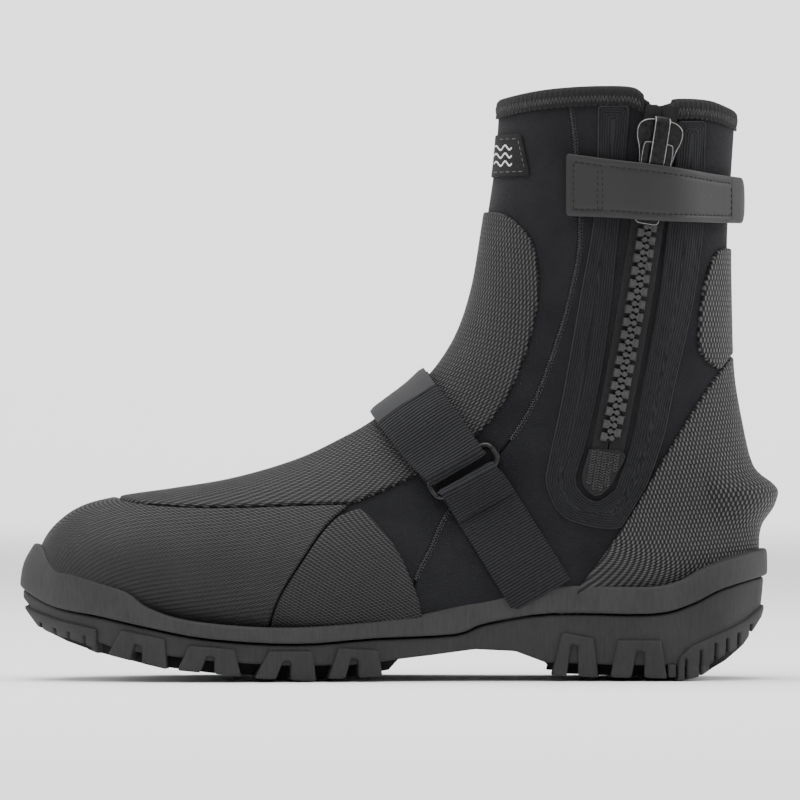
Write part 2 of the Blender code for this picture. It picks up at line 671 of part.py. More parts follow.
def make_slider():
    metal = material("slider_metal", (0.05, 0.05, 0.055), 0.35, 0.7)
    frame = zip_frame(SLIDER_MIDDLE_Z)
    slider = block("zip_slider", slider_outline(), *SLIDER_PLATE, surface=metal)
    inner, outer, bottom = FLANGE
    for sign in (-1, 1):
        x0, x1 = sorted((sign * inner, sign * outer))
        outline = rectangle(x0, 0.6, x1, 11)
        flange = block(f"flange_{x0:.0f}", outline, bottom, SLIDER_PLATE[1] - 0.2, collection=CUTTERS)
        flange.matrix_world = frame
        carve(slider, "UNION", flange)
    y0, y1, top = CROWN
    outline = rounded(-CROWN_HALF, y0, CROWN_HALF, y1, 1.6)
    crown = block("crown", outline, SLIDER_PLATE[1] - 0.3, top, collection=CUTTERS)
    hole0, hole1, hole_top = CROWN_HOLE
    hole = block("crown_hole", rectangle(-6, hole0, 6, hole1), SLIDER_PLATE[1], hole_top, collection=CUTTERS)
    for tool in (crown, hole):
        tool.matrix_world = frame
    carve(slider, "UNION", crown)
    carve(slider, "DIFFERENCE", hole)
    slider.matrix_world = frame

    axis_y, axis_lift = PULLER_AXIS
    half = PULLER_THICKNESS / 2
    puller = block("zip_puller", puller_outline(), -half, half, surface=metal)
    hole = block("puller_window", rounded(*PULLER_WINDOW, 1.2), -3, 3, collection=CUTTERS)
    hinge = frame @ Matrix.Translation((0, axis_y * MM, axis_lift * MM))
    hole.matrix_world = hinge
    carve(puller, "DIFFERENCE", hole)
    puller.matrix_world = hinge


# --------------------------------------------------------------------------------------------- the straps


def form_at(angle, z, lift):
    """The point of the form at an angle round it and a height, at a lift. All in metres."""
    rows = form_rows()
    points = np.array([section(row, lift, np.array([angle]))[0] for row in rows[: SECTIONS // 2]])
    order = np.argsort(points[:, 2])
    return np.array([np.interp(z, points[order, 2], points[order, axis]) for axis in range(2)] + [z])


def strap_sheet(name, surface, first_x, last_angle, columns, rows=4):
    """An ankle strap piece: from the wall's x at its front end to an angle round the form."""
    angles = np.linspace(0.3, math.pi, 200)
    wall_x = np.array([form_at(angle, 0.195, 0)[0] for angle in angles])
    first = np.interp(first_x * MM, wall_x, angles)
    last = last_angle if last_angle > 0 else np.interp(-last_angle * MM, wall_x, angles)
    bm = bmesh.new()
    grid = []
    for angle in np.linspace(first, last, columns):
        x = np.interp(angle, angles, wall_x) / MM
        lift = height(STRAP_LIFTS, x) * MM + STRAP_THICKNESS / 2
        low, top = height(STRAP_BACK_LOW, x), height(STRAP_BACK_TOP, x)
        grid.append([bm.verts.new(form_at(angle, z * MM, lift)) for z in np.linspace(low, top, rows)])
    for left, right in zip(grid, grid[1:]):
        for i in range(rows - 1):
            bm.faces.new((left[i], right[i], right[i + 1], left[i + 1]))
    mesh = bpy.data.meshes.new(name)
    bm.to_mesh(mesh)
    bm.free()
    strap = new_object(name, mesh, surface)
    solidify = strap.modifiers.new("thickness", "SOLIDIFY")
    solidify.thickness = STRAP_THICKNESS
    solidify.offset = 0
    return strap


def make_ankle_strap():
    rubber = material("strap_rubber", (0.045, 0.045, 0.047), 0.5)
    hooks = material("hook_and_loop", (0.015, 0.015, 0.016), 0.95)
    strap_sheet("ankle_strap_base", rubber, 67.5, -(STRAP_HINGE_X - 0.4), 5)
    strap = strap_sheet("ankle_strap", rubber, STRAP_HINGE_X + 0.4, math.radians(172), 18)
    hinge, outward = wall_point(STRAP_HINGE_X * MM, 0.196)
    lift = (height(STRAP_LIFTS, STRAP_HINGE_X)) * MM + STRAP_THICKNESS + 0.2 * MM
    set_origin(strap, hinge + outward * lift)
    zone = prism("loop_zone", rectangle(*LOOP_PATCH), high=0)
    carve(layer("loop_patch", hooks, GAP, LOOP_TOP), "INTERSECT", zone)
    hook = carve(layer("hook_patch", hooks, LOOP_TOP + GAP, HOOK_TOP), "INTERSECT", zone)

    set_origin(hook, hinge + outward * lift)


def ring_frame(lift_mm):
    """The ring's own frame: X along its bars to the rear, Y up the strap, Z outwards."""
    middle, outward = wall_point(RING_MIDDLE[0] * MM, RING_MIDDLE[1] * MM)
    along = Vector((math.cos(RING_ANGLE), 0, math.sin(RING_ANGLE)))
    along = (along - along.dot(outward) * outward).normalized()
    up = outward.cross(along)
    frame = Matrix((along, up, outward)).transposed().to_4x4()
    frame.translation = middle + outward * lift_mm * MM
    return frame


# Lifts of the strap's layers, and how far its folded ends stop from the bars they pass
RING_LIFT = 4.3
RUN_LIFT = 2.1 * MM
TAIL_LIFT = 3.9 * MM
GRIP_TAB = 2.0 * MM
RUN_GAP = 4.8
TAIL_GAP = 2.4
WEB_GAP = 1.4
SLEEVE_BORE = 1.6
SLEEVE_OUTER = 3.1
SLEEVE_LENGTH = 23.5 * MM


def tube(name, radius, length, frame):
    bm = bmesh.new()
    turn = frame @ Matrix.Rotation(math.pi / 2, 4, "Y")
    radius *= MM
    bmesh.ops.create_cone(
        bm, cap_ends=True, segments=16, radius1=radius, radius2=radius, depth=length, matrix=turn
    )
    return new_object(name, mesh_from(name, bm), collection=CUTTERS)


def make_instep_strap():
    webbing = material("webbing", (0.02, 0.021, 0.024), 0.85)
    metal = material("ring_metal", (0.04, 0.04, 0.043), 0.35, 0.8)
    rubber = material("grip_rubber", (0.06, 0.062, 0.068), 0.55)
    frame = ring_frame(RING_LIFT)
    half_bar = (RING_WIDTH - 2 * RING_WIRE) / 2
    lower_bar = frame @ Matrix.Translation((0, -half_bar, 0))
    upper_bar = frame @ Matrix.Translation((0, half_bar, 0))

    curve = bpy.data.curves.new("strap_ring", "CURVE")
    curve.dimensions = "3D"
    curve.bevel_depth = RING_WIRE
    curve.bevel_resolution = 2
    spline = curve.splines.new("POLY")
    half_x, radius = RING_LENGTH / 2 - RING_WIRE, 2.5 * MM
    path = rounded(-half_x / MM, -half_bar / MM, half_x / MM, half_bar / MM, radius / MM, 4)
    spline.points.add(len(path) - 1)
    for point, (x, y) in zip(spline.points, path):
        point.co = (x * MM, y * MM + half_bar, 0, 1)
    spline.use_cyclic_u = True
    ring = new_object("strap_ring", curve, None)
    ring.hide_render = False
    ring.display_type = "TEXTURED"
    curve.materials.append(metal)
    ring.matrix_world = lower_bar

    along = np.array([math.cos(RING_ANGLE), math.sin(RING_ANGLE)])
    up = np.array([-math.sin(RING_ANGLE), math.cos(RING_ANGLE)])
    middle = np.array(RING_MIDDLE)
    half = STRAP_WIDTH / MM / 2
    bar_up = half_bar / MM

    def across(distance):
        """The strap's two corners on a line at this distance up the strap from the ring's middle."""
        return [tuple(middle - along * half + up * distance), tuple(middle + along * half + up * distance)]

    run_end, tail_end, web_end = across(bar_up + RUN_GAP), across(bar_up + TAIL_GAP), across(WEB_GAP - bar_up)
    over = [*STRAP_RIDGE, run_end[1]]
    run_zone = prism("run_medial_zone", [*over, run_end[0]], high=1)
    lateral = [*over, *LOWER_RUN[2:4], *LATERAL_FOOT, *LOWER_RUN[6:], run_end[0]]
    carve(run_zone, "UNION", prism("run_lateral_zone", lateral, low=0))
    run = layer("instep_strap", webbing, RUN_LIFT, RUN_LIFT + WEBBING)
    carve(run, "INTERSECT", run_zone, prism("above_rand", everything_above(RAND_TOP, 0.6)))

    tail_zone = prism("tail_zone", [*TAIL_TOP, tail_end[1], tail_end[0]], high=2)
    tail = layer("strap_tail", webbing, TAIL_LIFT, TAIL_LIFT + WEBBING)
    carve(tail, "INTERSECT", tail_zone)
    sleeve = tube("tail_sleeve", SLEEVE_OUTER, SLEEVE_LENGTH, upper_bar)
    carve(tail, "UNION", sleeve)
    carve(tail, "DIFFERENCE", tube("tail_bore", SLEEVE_BORE, 2 * STRAP_WIDTH, upper_bar))
    set_origin(tail, upper_bar.translation)
    tab = layer("grip_tab", rubber, TAIL_LIFT, TAIL_LIFT + GRIP_TAB)
    carve(tab, "INTERSECT", prism("tab_zone", [*TAB_LOW, *STRAP_RIDGE[::-1]], high=12))
    set_origin(tab, upper_bar.translation)

    web = layer("lower_webbing", webbing, GAP, GAP + WEBBING)
    lower = [web_end[1], *LOWER_RUN[2:], web_end[0]]
    carve(web, "INTERSECT", prism("web_zone", lower, high=0), CUTTERS.objects["upper_zone"])
    carve(web, "DIFFERENCE", CUTTERS.objects["heel_zone"])
    carve(web, "UNION", tube("web_sleeve", SLEEVE_OUTER, SLEEVE_LENGTH, lower_bar))
    carve(web, "DIFFERENCE", tube("web_bore", SLEEVE_BORE, 2 * STRAP_WIDTH, lower_bar))


def main():
    zones = {
        "upper": prism("upper_zone", everything_above(FLOOR, UPPER_ABOVE_FLOOR)),
        "heel": prism("heel_zone", behind(HEEL_EDGE, -2 * GUARD_MARGIN)),
    }
    make_neoprene()
    make_collar()
    make_guards(zones)
    make_label()
    make_sole()
    make_zip(zones)
    make_slider()
    make_ankle_strap()
    make_instep_strap()


clear_scene()
PARTS = new_collection("neoprene_boot")
CUTTERS = new_collection("cutters")
OUTER = form(0).data
WALL = BVHTree.FromPolygons(
    [tuple(vertex.co) for vertex in OUTER.vertices], [tuple(face.vertices) for face in OUTER.polygons]
)
main()
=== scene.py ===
"""The looks of a neoprene water sports boot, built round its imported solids. Metres, toe to -X, inner
(medial) side to -Y, +Z up. Most pieces are cut from one fine skin of the foot's form and thickened."""

import json
import math
from collections import namedtuple

import bpy
import numpy as np
from mathutils import Matrix, Vector
from mathutils.bvhtree import BVHTree


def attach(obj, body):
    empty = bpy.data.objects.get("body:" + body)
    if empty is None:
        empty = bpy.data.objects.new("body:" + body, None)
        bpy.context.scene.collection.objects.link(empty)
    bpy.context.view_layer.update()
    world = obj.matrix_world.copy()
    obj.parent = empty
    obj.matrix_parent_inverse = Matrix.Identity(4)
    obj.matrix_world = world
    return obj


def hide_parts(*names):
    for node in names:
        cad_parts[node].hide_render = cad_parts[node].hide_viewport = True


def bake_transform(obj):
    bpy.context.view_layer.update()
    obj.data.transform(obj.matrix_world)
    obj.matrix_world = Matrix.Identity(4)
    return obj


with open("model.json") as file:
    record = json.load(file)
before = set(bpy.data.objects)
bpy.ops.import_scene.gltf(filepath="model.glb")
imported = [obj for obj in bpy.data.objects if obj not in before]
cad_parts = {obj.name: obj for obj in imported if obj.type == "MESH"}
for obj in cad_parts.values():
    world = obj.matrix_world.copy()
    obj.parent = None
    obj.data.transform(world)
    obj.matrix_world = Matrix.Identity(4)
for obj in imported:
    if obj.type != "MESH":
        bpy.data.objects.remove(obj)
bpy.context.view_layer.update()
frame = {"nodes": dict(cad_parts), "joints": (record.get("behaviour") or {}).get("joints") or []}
JOINTS = {joint["name"]: joint for joint in frame["joints"]}

MM = 0.001
Y_AXIS = np.array([0.0, 1.0, 0.0])

# ------------------------------------------------------------------------------- the form, as in the CAD

Station = namedtuple(
    "Station", "front back medial lateral front_power back_power front_y back_y reach"
)

# In millimetres: the points (x, z) of each section's front and back ends, its half widths, how blunt its
# ends are, how far its ends lie off centre, and how far it follows a lift forwards.
STATIONS = (
    Station((40.3, 240), (135.6, 240), 37.0, 37.0, 0.50, 0.50, 0, 0, 0),
    Station((38.5, 210), (133.5, 208), 37.5, 37.5, 0.50, 0.50, 0, 0, 0),
    Station((34.2, 180), (131.6, 178), 37.5, 37.5, 0.50, 0.50, 0, 0, 0),
    Station((30.3, 157), (131.8, 148), 37.5, 37.5, 0.50, 0.50, 0, 0, 0),
    Station((24.5, 139), (132.8, 122), 37.0, 38.0, 0.50, 0.50, 0, 0, 0),
    Station((16.5, 125.5), (136.5, 100), 36.5, 38.5, 0.50, 0.50, -1, 0, 0),
    Station((7.5, 115.8), (141.0, 78), 36.0, 39.0, 0.50, 0.47, -1, 0, 0),
    Station((-2.5, 108.0), (142.6, 54), 36.0, 40.0, 0.50, 0.42, -2, 0, 0),
    Station((-13, 100.5), (140, 32), 36.5, 41.0, 0.50, 0.34, -2, 0, 0),
    Station((-24, 94.5), (116, 24), 37.0, 43.0, 0.50, 0.25, -3, 0, 0),
    Station((-37, 88.2), (70, 22.5), 39.0, 45.0, 0.50, 0.20, -5, 0, 0),
    Station((-52, 83.0), (20, 19), 43.0, 47.0, 0.48, 0.18, -7, 0, 0),
    Station((-70, 78.4), (-30, 15), 47.0, 48.0, 0.45, 0.17, -9, 0, 0),
    Station((-91, 75.0), (-70, 16.5), 48.0, 45.0, 0.42, 0.17, -10, 0, 0),
    Station((-112, 71.9), (-102, 22), 44.5, 38.5, 0.40, 0.18, -11, -2, 0),
    Station((-128, 67.5), (-120, 26.5), 37.0, 29.0, 0.40, 0.20, -12, -6, 0.15),
    Station((-139, 58.5), (-132, 30), 28.0, 20.0, 0.42, 0.30, -13, -9, 0.55),
    Station((-144.5, 47), (-140, 33), 16.0, 12.0, 0.50, 0.50, -13, -11, 1.0),
)

# Lines in the X-Z plane, in millimetres
FLOOR = (
    (-152, 38), (-132, 30), (-110, 23.5), (-75, 17), (-30, 15), (20, 19), (70, 22.5), (116, 24),
    (156, 26),
)
COLLAR = (
    (30, 231), (50, 235), (64, 236.6), (80, 237.2), (93, 236.6), (98.5, 233), (104, 230.6),
    (112, 232.2), (124, 231.8), (132, 229.6), (146, 224),
)
FRONT_SEAM = (
    (66, 245), (68, 228), (70, 210), (71.6, 177), (68, 155), (62, 134), (53.6, 112), (43, 95), (30, 80),
    (18.4, 66.4), (12, 52.8), (6, 40), (0, 10),
)
GUARD_EDGE = ((30, 187.8), (40, 187.2), (46.4, 183.6), (51.2, 178.4), (54, 172.8), (56, 158), (53.2, 139.2),
              (44.8, 116.4), (33.6, 100.4), (20, 90.5), (6.4, 81.6), (-6, 75.5), (-19.2, 70))
TOE_LINE = ((-19.2, 70), (-40, 69.4), (-60, 68.6), (-80, 68.4), (-100, 69.4), (-112, 71.5), (-121, 76))
CREASE = ((-19.2, 70), (-29.6, 60.8), (-38.8, 48), (-48, 33.6), (-52, 22), (-54, 8))
WEDGE_EDGE = ((-19.2, 70), (-13.2, 66.6), (-7, 60), (-0.8, 52), (5.2, 39.2), (8.8, 27.6), (10, 8))
HEEL_EDGE = (
    (142, 135), (134.4, 131.5), (127.6, 123.6), (117.6, 109.2), (103.6, 86.4), (89.2, 62), (73.2, 40),
    (58, 22),
)
ACHILLES = (
    (140, 172.9), (128.4, 172.7), (124.8, 169.2), (122, 161.6), (119.5, 148), (118.8, 134),
    (121.2, 128.6), (126.5, 124.3),
)
U_OUTER = (
    (78.9, 229.2), (78.5, 205), (76.8, 181), (72, 154), (64.8, 113.6), (59.2, 87.6), (58.4, 77.6),
    (64.8, 65.6), (80.4, 60.8), (92, 61.5),
)
U_INNER = (
    (91.4, 229.2), (89.5, 205), (86.8, 179), (83.6, 147), (79.2, 118), (74, 94.8), (70, 79),
    (77.6, 71.6), (85.5, 76),
)
U_RIGHT_INNER = (
    (110.4, 223.2), (108.8, 205), (105.8, 179), (102.4, 150.8), (96.8, 120.4), (92, 94.8), (85.5, 76),
)
U_RIGHT_OUTER = (
    (121.6, 223.6), (121, 205), (120.4, 179), (116.4, 150), (109.2, 117.6), (104, 94), (92, 61.5),
)
BOTTOM_PATCH = ((75.4, 92.6), (89.2, 91.2), (86.4, 83.2), (82.8, 76.8), (77.6, 73.8), (72.4, 79.8))
LABEL = ((20, 218.4), (49, 218.4), (52.4, 201.4), (20, 201.4))

ZIP_HEAD = (103.2, 222)
ZIP_FOOT = (83.0, 94.4)
ZIP_BOW = 1.6
TAPE_HALF = 6.6
SLOT_HALF = 5.0

RING_MIDDLE = (26.2, 82.6)
RING_ANGLE = math.radians(32)
STRAP_WIDTH = 26.0

STRAP_BACK_TOP = ((67, 210.2), (84.4, 207.6), (99.6, 205.6), (115.2, 203.2), (133.2, 201.0), (150, 199.0))
STRAP_BACK_LOW = ((67, 185.2), (84.4, 184.4), (99.6, 183.2), (115.2, 182.8), (130.4, 182.8), (150, 183.2))
STRAP_HINGE_X = 82.0
STRAP_LIFTS = ((60, 1.8), (80, 1.8), (92, 7.2), (110, 7.2), (122, 2.9), (150, 2.9))

SOLE_PLAN = (
    (-152, -11), (-147.5, -29), (-131, -44), (-104, -52.4), (-66, -54.5), (-24, -48.5), (22, -41.5),
    (64, -39), (104, -40.2), (131, -34), (144.6, -17), (147.6, 0), (144.6, 18), (131, 35.5), (104, 43),
    (64, 47.5), (20, 51.8), (-20, 54.3), (-56, 54), (-90, 48.2), (-120, 35), (-141, 15),
)
RAND_TOP = (
    (-158, 57.5), (-144.8, 54.6), (-139.2, 47.6), (-123.2, 40.6), (-109, 36), (-100, 29.6), (-84, 24.6),
    (-52, 21.8), (-22, 22.9), (8.8, 26.8), (35.6, 34.2), (61, 38), (96, 37.6), (110, 39.4), (123, 45.6),
    (144, 52), (156, 53.4),
)
GROOVE = (
    (-158, 41), (-148, 34), (-137, 28.8), (-120, 25.8), (-100, 21.4), (-76, 17), (-41, 14.9), (-10, 17),
    (22, 18.6), (34, 22.8), (60, 26.8), (100, 26.6), (116, 30.4), (130, 36.8), (156, 43.4),
)
TOE_FACE = ((-144.8, 57), (-150.4, 47), (-152, 36), (-151, 29), (-144.8, 20.8))
TOE_UNDER = ((-144.8, 20.8), (-132.4, 15.2), (-121.2, 11.4))
HEEL_UNDER = ((111, 0), (120, 1.8), (130, 7.4), (138, 13.6), (145, 24))
HEEL_FACE = ((145, 24), (147.2, 36), (147.6, 50), (146, 58))

ARCH = ((0, 9.0), (12, 10.4), (30, 12.8), (46, 12.0), (56, 8.6))


def smooth(points, per_span=4):
    """A Catmull-Rom curve through given points, with its ends included."""
    points = np.array(points, float)
    padded = np.vstack([2 * points[0] - points[1], points, 2 * points[-1] - points[-2]])
    rows = []
    for i in range(1, len(padded) - 2):
        a, b, c, d = padded[i - 1 : i + 3]
        for t in np.arange(per_span) / per_span:
            bend, twist = 2 * a - 5 * b + 4 * c - d, 3 * b - a - 3 * c + d
            rows.append(0.5 * (2 * b + (c - a) * t + bend * t**2 + twist * t**3))
    return np.array(rows + [points[-1]])


def closed_smooth(points, per_span=3):
    """The same curve closed on itself."""
    ring = np.array(list(points) + list(points[:3]), float)
    return smooth(ring, per_span)[per_span : per_span + len(points) * per_span]


def shifted(line, distance):
    """A line moved sideways, to the left of its direction."""
    line = np.array(line, float)
    run = np.gradient(line, axis=0)
    run /= np.linalg.norm(run, axis=1)[:, None]
    return line + distance * np.stack([-run[:, 1], run[:, 0]], axis=1)


def height(line, x):
    line = np.array(line, float)
    return np.interp(x, line[:, 0], line[:, 1])


def unit(vectors):
    return vectors / np.linalg.norm(vectors, axis=-1, keepdims=True)


# ------------------------------------------------------------------------------------- skins and cutting

# A surface of triangles that knows its outward normals and its grain: the distance round it from the
# front, round it from the back, and along it from the collar.
Skin = namedtuple("Skin", "points normals grain faces")

ROWS_PER_STATION = 16
AROUND = 216


def section(row, lift, angles):
    """One section as points: angle 0 is its front end, pi its back end, and 0 to pi its medial side."""
    front_x, front_z, back_x, back_z, medial, lateral, front_y, back_y, front_power, back_power, reach = row
    front, back = np.array([front_x, front_z]), np.array([back_x, back_z])
    axis = (back - front) / np.linalg.norm(back - front)
    front, back = front - axis * lift, back + axis * lift
    along = (1 - np.cos(angles)) / 2
    peak = front_power / (front_power + back_power)
    most = peak**front_power * (1 - peak) ** back_power
    width = along**front_power * (1 - along) ** back_power / most
    half = np.where(np.sin(angles) >= 0, -(medial + lift), lateral + lift)
    x = front[0] + (back[0] - front[0]) * along - reach * lift
    z = front[1] + (back[1] - front[1]) * along
    y = front_y + (back_y - front_y) * along + half * width
    return np.stack([x, y, z], axis=1)


def grid_faces(rows, columns, wrap=True):
    i, j = np.meshgrid(np.arange(rows - 1), np.arange(columns if wrap else columns - 1), indexing="ij")
    k = (j + 1) % columns
    a, b, c, d = i * columns + j, i * columns + k, (i + 1) * columns + k, (i + 1) * columns + j
    return np.concatenate([np.stack([a, d, c], -1).reshape(-1, 3), np.stack([a, c, b], -1).reshape(-1, 3)])


def grid_normals(grid, wrap=True):
    down = np.gradient(grid, axis=0)
    if wrap:
        round_it = np.roll(grid, -1, axis=1) - np.roll(grid, 1, axis=1)
    else:
        round_it = np.gradient(grid, axis=1)
    return unit(np.cross(down, round_it))


def form_skin():
    rows = []
    for station in STATIONS:
        ends = (*station.front, *station.back)
        lengths = (*ends, station.medial, station.lateral, station.front_y, station.back_y)
        powers = (station.front_power, station.back_power, station.reach)
        rows.append([*(length * MM for length in lengths), *powers])
    angles = np.arange(AROUND) * 2 * math.pi / AROUND
    grid = np.array([section(row, 0, angles) for row in smooth(rows, ROWS_PER_STATION)])
    half = AROUND // 2
    step = np.linalg.norm(np.roll(grid, -1, axis=1) - grid, axis=2)
    start = np.zeros((len(grid), 1))
    medial = np.concatenate([start, np.cumsum(step[:, :half], axis=1)], axis=1)
    lateral = np.concatenate([start, np.cumsum(step[:, ::-1][:, : half - 1], axis=1)], axis=1)
    from_front = np.concatenate([medial[:, : half + 1], -lateral[:, 1:][:, ::-1]], axis=1)
    whole_medial = medial[:, -1:]
    whole_lateral = step[:, half:].sum(axis=1, keepdims=True)
    from_back = np.where(from_front >= 0, from_front - whole_medial, from_front + whole_lateral)
    down = np.cumsum(np.linalg.norm(np.diff(grid, axis=0), axis=2), axis=0)
    along = np.concatenate([np.zeros((1, AROUND)), down])
    grain = np.stack([from_front, from_back, along], axis=2)
    return Skin(grid.reshape(-1, 3), grid_normals(grid).reshape(-1, 3), grain.reshape(-1, 3),
                grid_faces(len(grid), AROUND))


def pick(skin, faces, *values):
    """The skin with only these faces, and its per-point values, without the points that no face uses."""
    used, index = np.unique(faces, return_inverse=True)
    kept = Skin(skin.points[used], skin.normals[used], skin.grain[used], index.reshape(-1, 3))
    return kept, *(value[used] for value in values)


def cut(skin, value, both=False):
    """Splits the triangles where the value changes sign, and keeps the positive side or both sides."""
    value = np.where(np.abs(value) < 1e-6, 0.0, value)
    sign = np.sign(value)[skin.faces]
    above, below = (sign >= 0).all(1), (sign <= 0).all(1)
    mixed = ~(above | below)
    faces, sign = skin.faces[mixed], sign[mixed]
    touching = (sign == 0).any(1)
    odd_one = np.argmax(sign == -np.sign(sign.sum(1))[:, None], axis=1)
    lone = np.where(touching, np.argmax(sign == 0, axis=1), odd_one)
    order = (lone[:, None] + np.arange(3)) % 3
    faces = np.take_along_axis(faces, order, 1)
    sign = np.take_along_axis(sign, order, 1)
    first, second, third = faces.T
    count = len(skin.points)
    edges = np.concatenate([
        np.sort(faces[touching][:, 1:], axis=1), np.sort(faces[~touching][:, [0, 1]], axis=1),
        np.sort(faces[~touching][:, [0, 2]], axis=1)])
    keys, index = np.unique(edges[:, 0] * count + edges[:, 1], return_inverse=True)
    a, b = keys // count, keys % count
    share = (value[a] / (value[a] - value[b]))[:, None]
    made = index.reshape(-1) + count
    n_touch, n_plain = touching.sum(), (~touching).sum()
    p, q, r = made[:n_touch], made[n_touch : n_touch + n_plain], made[n_touch + n_plain :]
    t0, t1, t2 = first[touching], second[touching], third[touching]
    l0, l1, l2 = first[~touching], second[~touching], third[~touching]
    pieces = [
        (np.stack([t0, t1, p], 1), sign[touching][:, 1]), (np.stack([t0, p, t2], 1), sign[touching][:, 2]),
        (np.stack([l0, q, r], 1), sign[~touching][:, 0]), (np.stack([q, l1, l2], 1), sign[~touching][:, 1]),
        (np.stack([q, l2, r], 1), sign[~touching][:, 1])]

    def joined(old):
        between = old[a] + (old[b] - old[a]) * (share if old.ndim > 1 else share[:, 0])
        return np.concatenate([old, between])

    whole = Skin(joined(skin.points), unit(joined(skin.normals)), joined(skin.grain), None)
    values = joined(value)
    values[count:] = 0.0
    keep = [skin.faces[above]] + [tri[side > 0] for tri, side in pieces]
    if both:
        keep += [skin.faces[below & ~above]] + [tri[side < 0] for tri, side in pieces]
    return pick(whole, np.concatenate(keep), values)


def outline_depth(points, outline):
    """How far inside an outline in the X-Z plane each point lies. The outline is in millimetres."""
    outline = np.array(outline, float) * MM
    ends = np.roll(outline, -1, axis=0)
    keep = np.linalg.norm(ends - outline, axis=1) > 1e-7
    starts, ends = outline[keep], ends[keep]
    flat = points[:, [0, 2]]
    nearest = np.full(len(flat), np.inf)
    inside = np.zeros(len(flat), bool)
    for start, end in zip(starts, ends):
        run = end - start
        share = np.clip((flat - start) @ run / (run @ run), 0, 1)
        nearest = np.minimum(nearest, np.linalg.norm(flat - start - share[:, None] * run, axis=1))
        crosses = (start[1] > flat[:, 1]) != (end[1] > flat[:, 1])
        if run[1]:
            inside ^= crosses & (flat[:, 0] < start[0] + run[0] * (flat[:, 1] - start[1]) / run[1])
    return np.where(inside, nearest, -nearest)


def band(line_a, line_b):
    return np.vstack([line_a, np.array(line_b)[::-1]])


def raised(line, by):
    return np.array(line, float) + (0, by)


def front_of(margin, *lines):
    """All that lies in front of lines that run downwards end to end, less a margin."""
    first, *others = [shifted(smooth(line, 4), -margin) for line in lines]
    edge = np.vstack([first, *(other[1:] for other in others)])
    return np.vstack([[(-190, edge[0][1])], edge, [(-190, edge[-1][1])]])


def behind(line, margin):
    edge = shifted(smooth(line, 4), margin)
    return np.vstack([[(190, edge[0][1])], edge, [(190, edge[-1][1])]])


def everything_above(line, by=0.0):
    line = smooth(line, 4)
    return np.vstack([raised(line, by), [(line[-1][0], 300), (line[0][0], 300)]])


def everything_below(line, by=0.0):
    line = smooth(line, 4)
    return np.vstack([raised(line, by), [(line[-1][0], -40), (line[0][0], -40)]])


def chain_line(offset, start=0.0, end=1.0, count=13):
    (foot_x, foot_z), (head_x, head_z) = ZIP_FOOT, ZIP_HEAD
    share = np.linspace(start, end, count)
    bow = 4 * ZIP_BOW * np.clip(share * (1 - share), 0, None)
    x = foot_x + (head_x - foot_x) * share + bow + offset
    return np.stack([x, foot_z + (head_z - foot_z) * share], axis=1)


def chain_band(low, high, start=0.0, end=1.0):
    return band(chain_line(low, start, end), chain_line(high, start, end))


# ------------------------------------------------------------------------------------------------ pieces


def mesh_object(name, points, faces, surface, grain=None, sharp=40):
    """A piece from arrays of points and of triangles or quads."""
    mesh = bpy.data.meshes.new(name)
    faces = np.asarray(faces)
    sides = faces.shape[1]
    mesh.vertices.add(len(points))
    mesh.vertices.foreach_set("co", np.asarray(points, np.float32).ravel())
    mesh.loops.add(faces.size)
    mesh.loops.foreach_set("vertex_index", faces.astype(np.int32).ravel())
    mesh.polygons.add(len(faces))
    mesh.polygons.foreach_set("loop_start", np.arange(0, faces.size, sides, dtype=np.int32))
    mesh.update(calc_edges=True)
    if grain is not None:
        stored = mesh.attributes.new("grain", "FLOAT_VECTOR", "POINT")
        stored.data.foreach_set("vector", np.asarray(grain, np.float32).ravel())
    mesh.validate()
    mesh.materials.append(surface)
    mesh.shade_smooth()
    mesh.set_sharp_from_angle(angle=math.radians(sharp))
    made = bpy.data.objects.new(name, mesh)
    bpy.context.scene.collection.objects.link(made)
    return made


def mount(piece, body="boot", nodes=()):
    """Puts a piece on its body, in place of CAD nodes."""
    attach(piece, body)
    if nodes:
        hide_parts(*nodes)
    return piece


def shell(name, skin, low, high, surface):
    """A closed solid between two lifts from a skin. Each lift is a number or one for each point."""
    count = len(skin.points)
    low, high = (np.broadcast_to(lift, count)[:, None] for lift in (low, high))
    points = np.concatenate([skin.points + skin.normals * high, skin.points + skin.normals * low])
    directed = np.concatenate([skin.faces[:, [0, 1]], skin.faces[:, [1, 2]], skin.faces[:, [2, 0]]])
    open_edge = ~np.isin(directed[:, 0] * count + directed[:, 1], directed[:, 1] * count + directed[:, 0])
    a, b = directed[open_edge].T
    walls = np.concatenate([np.stack([b, a, a + count], 1), np.stack([b, a + count, b + count], 1)])
    faces = np.concatenate([skin.faces, skin.faces[:, ::-1] + count, walls])
    return mesh_object(name, points, faces, surface, np.concatenate([skin.grain, skin.grain]))


ROUNDING = (0.12, 0.4, 1.0)
EDGE_SHARE = 0.3


def rounded_lift(depth, edge, low, high):
    """The lift across a panel: it curves down over the last stretch before its edge."""
    share = np.clip(depth / edge, 0, 1)
    return low + (high - low) * (EDGE_SHARE + (1 - EDGE_SHARE) * np.sqrt(1 - (1 - share) ** 2))


def cut_region(skin, *outlines, side=0, margin=0.15 * MM, edge=None):
    """The part of a skin inside the outlines, on one side of the middle or on both, with its depth."""
    def depth_of(points):
        depths = [outline_depth(points, outline) for outline in outlines]
        if side:
            depths.append(points[:, 1] * side - margin)
        return np.min(depths, axis=0)

    skin, depth = cut(skin, depth_of(skin.points))
    for share in ROUNDING if edge else ():
        skin, over = cut(skin, depth - share * edge, both=True)
        depth = over + share * edge
    return skin, depth


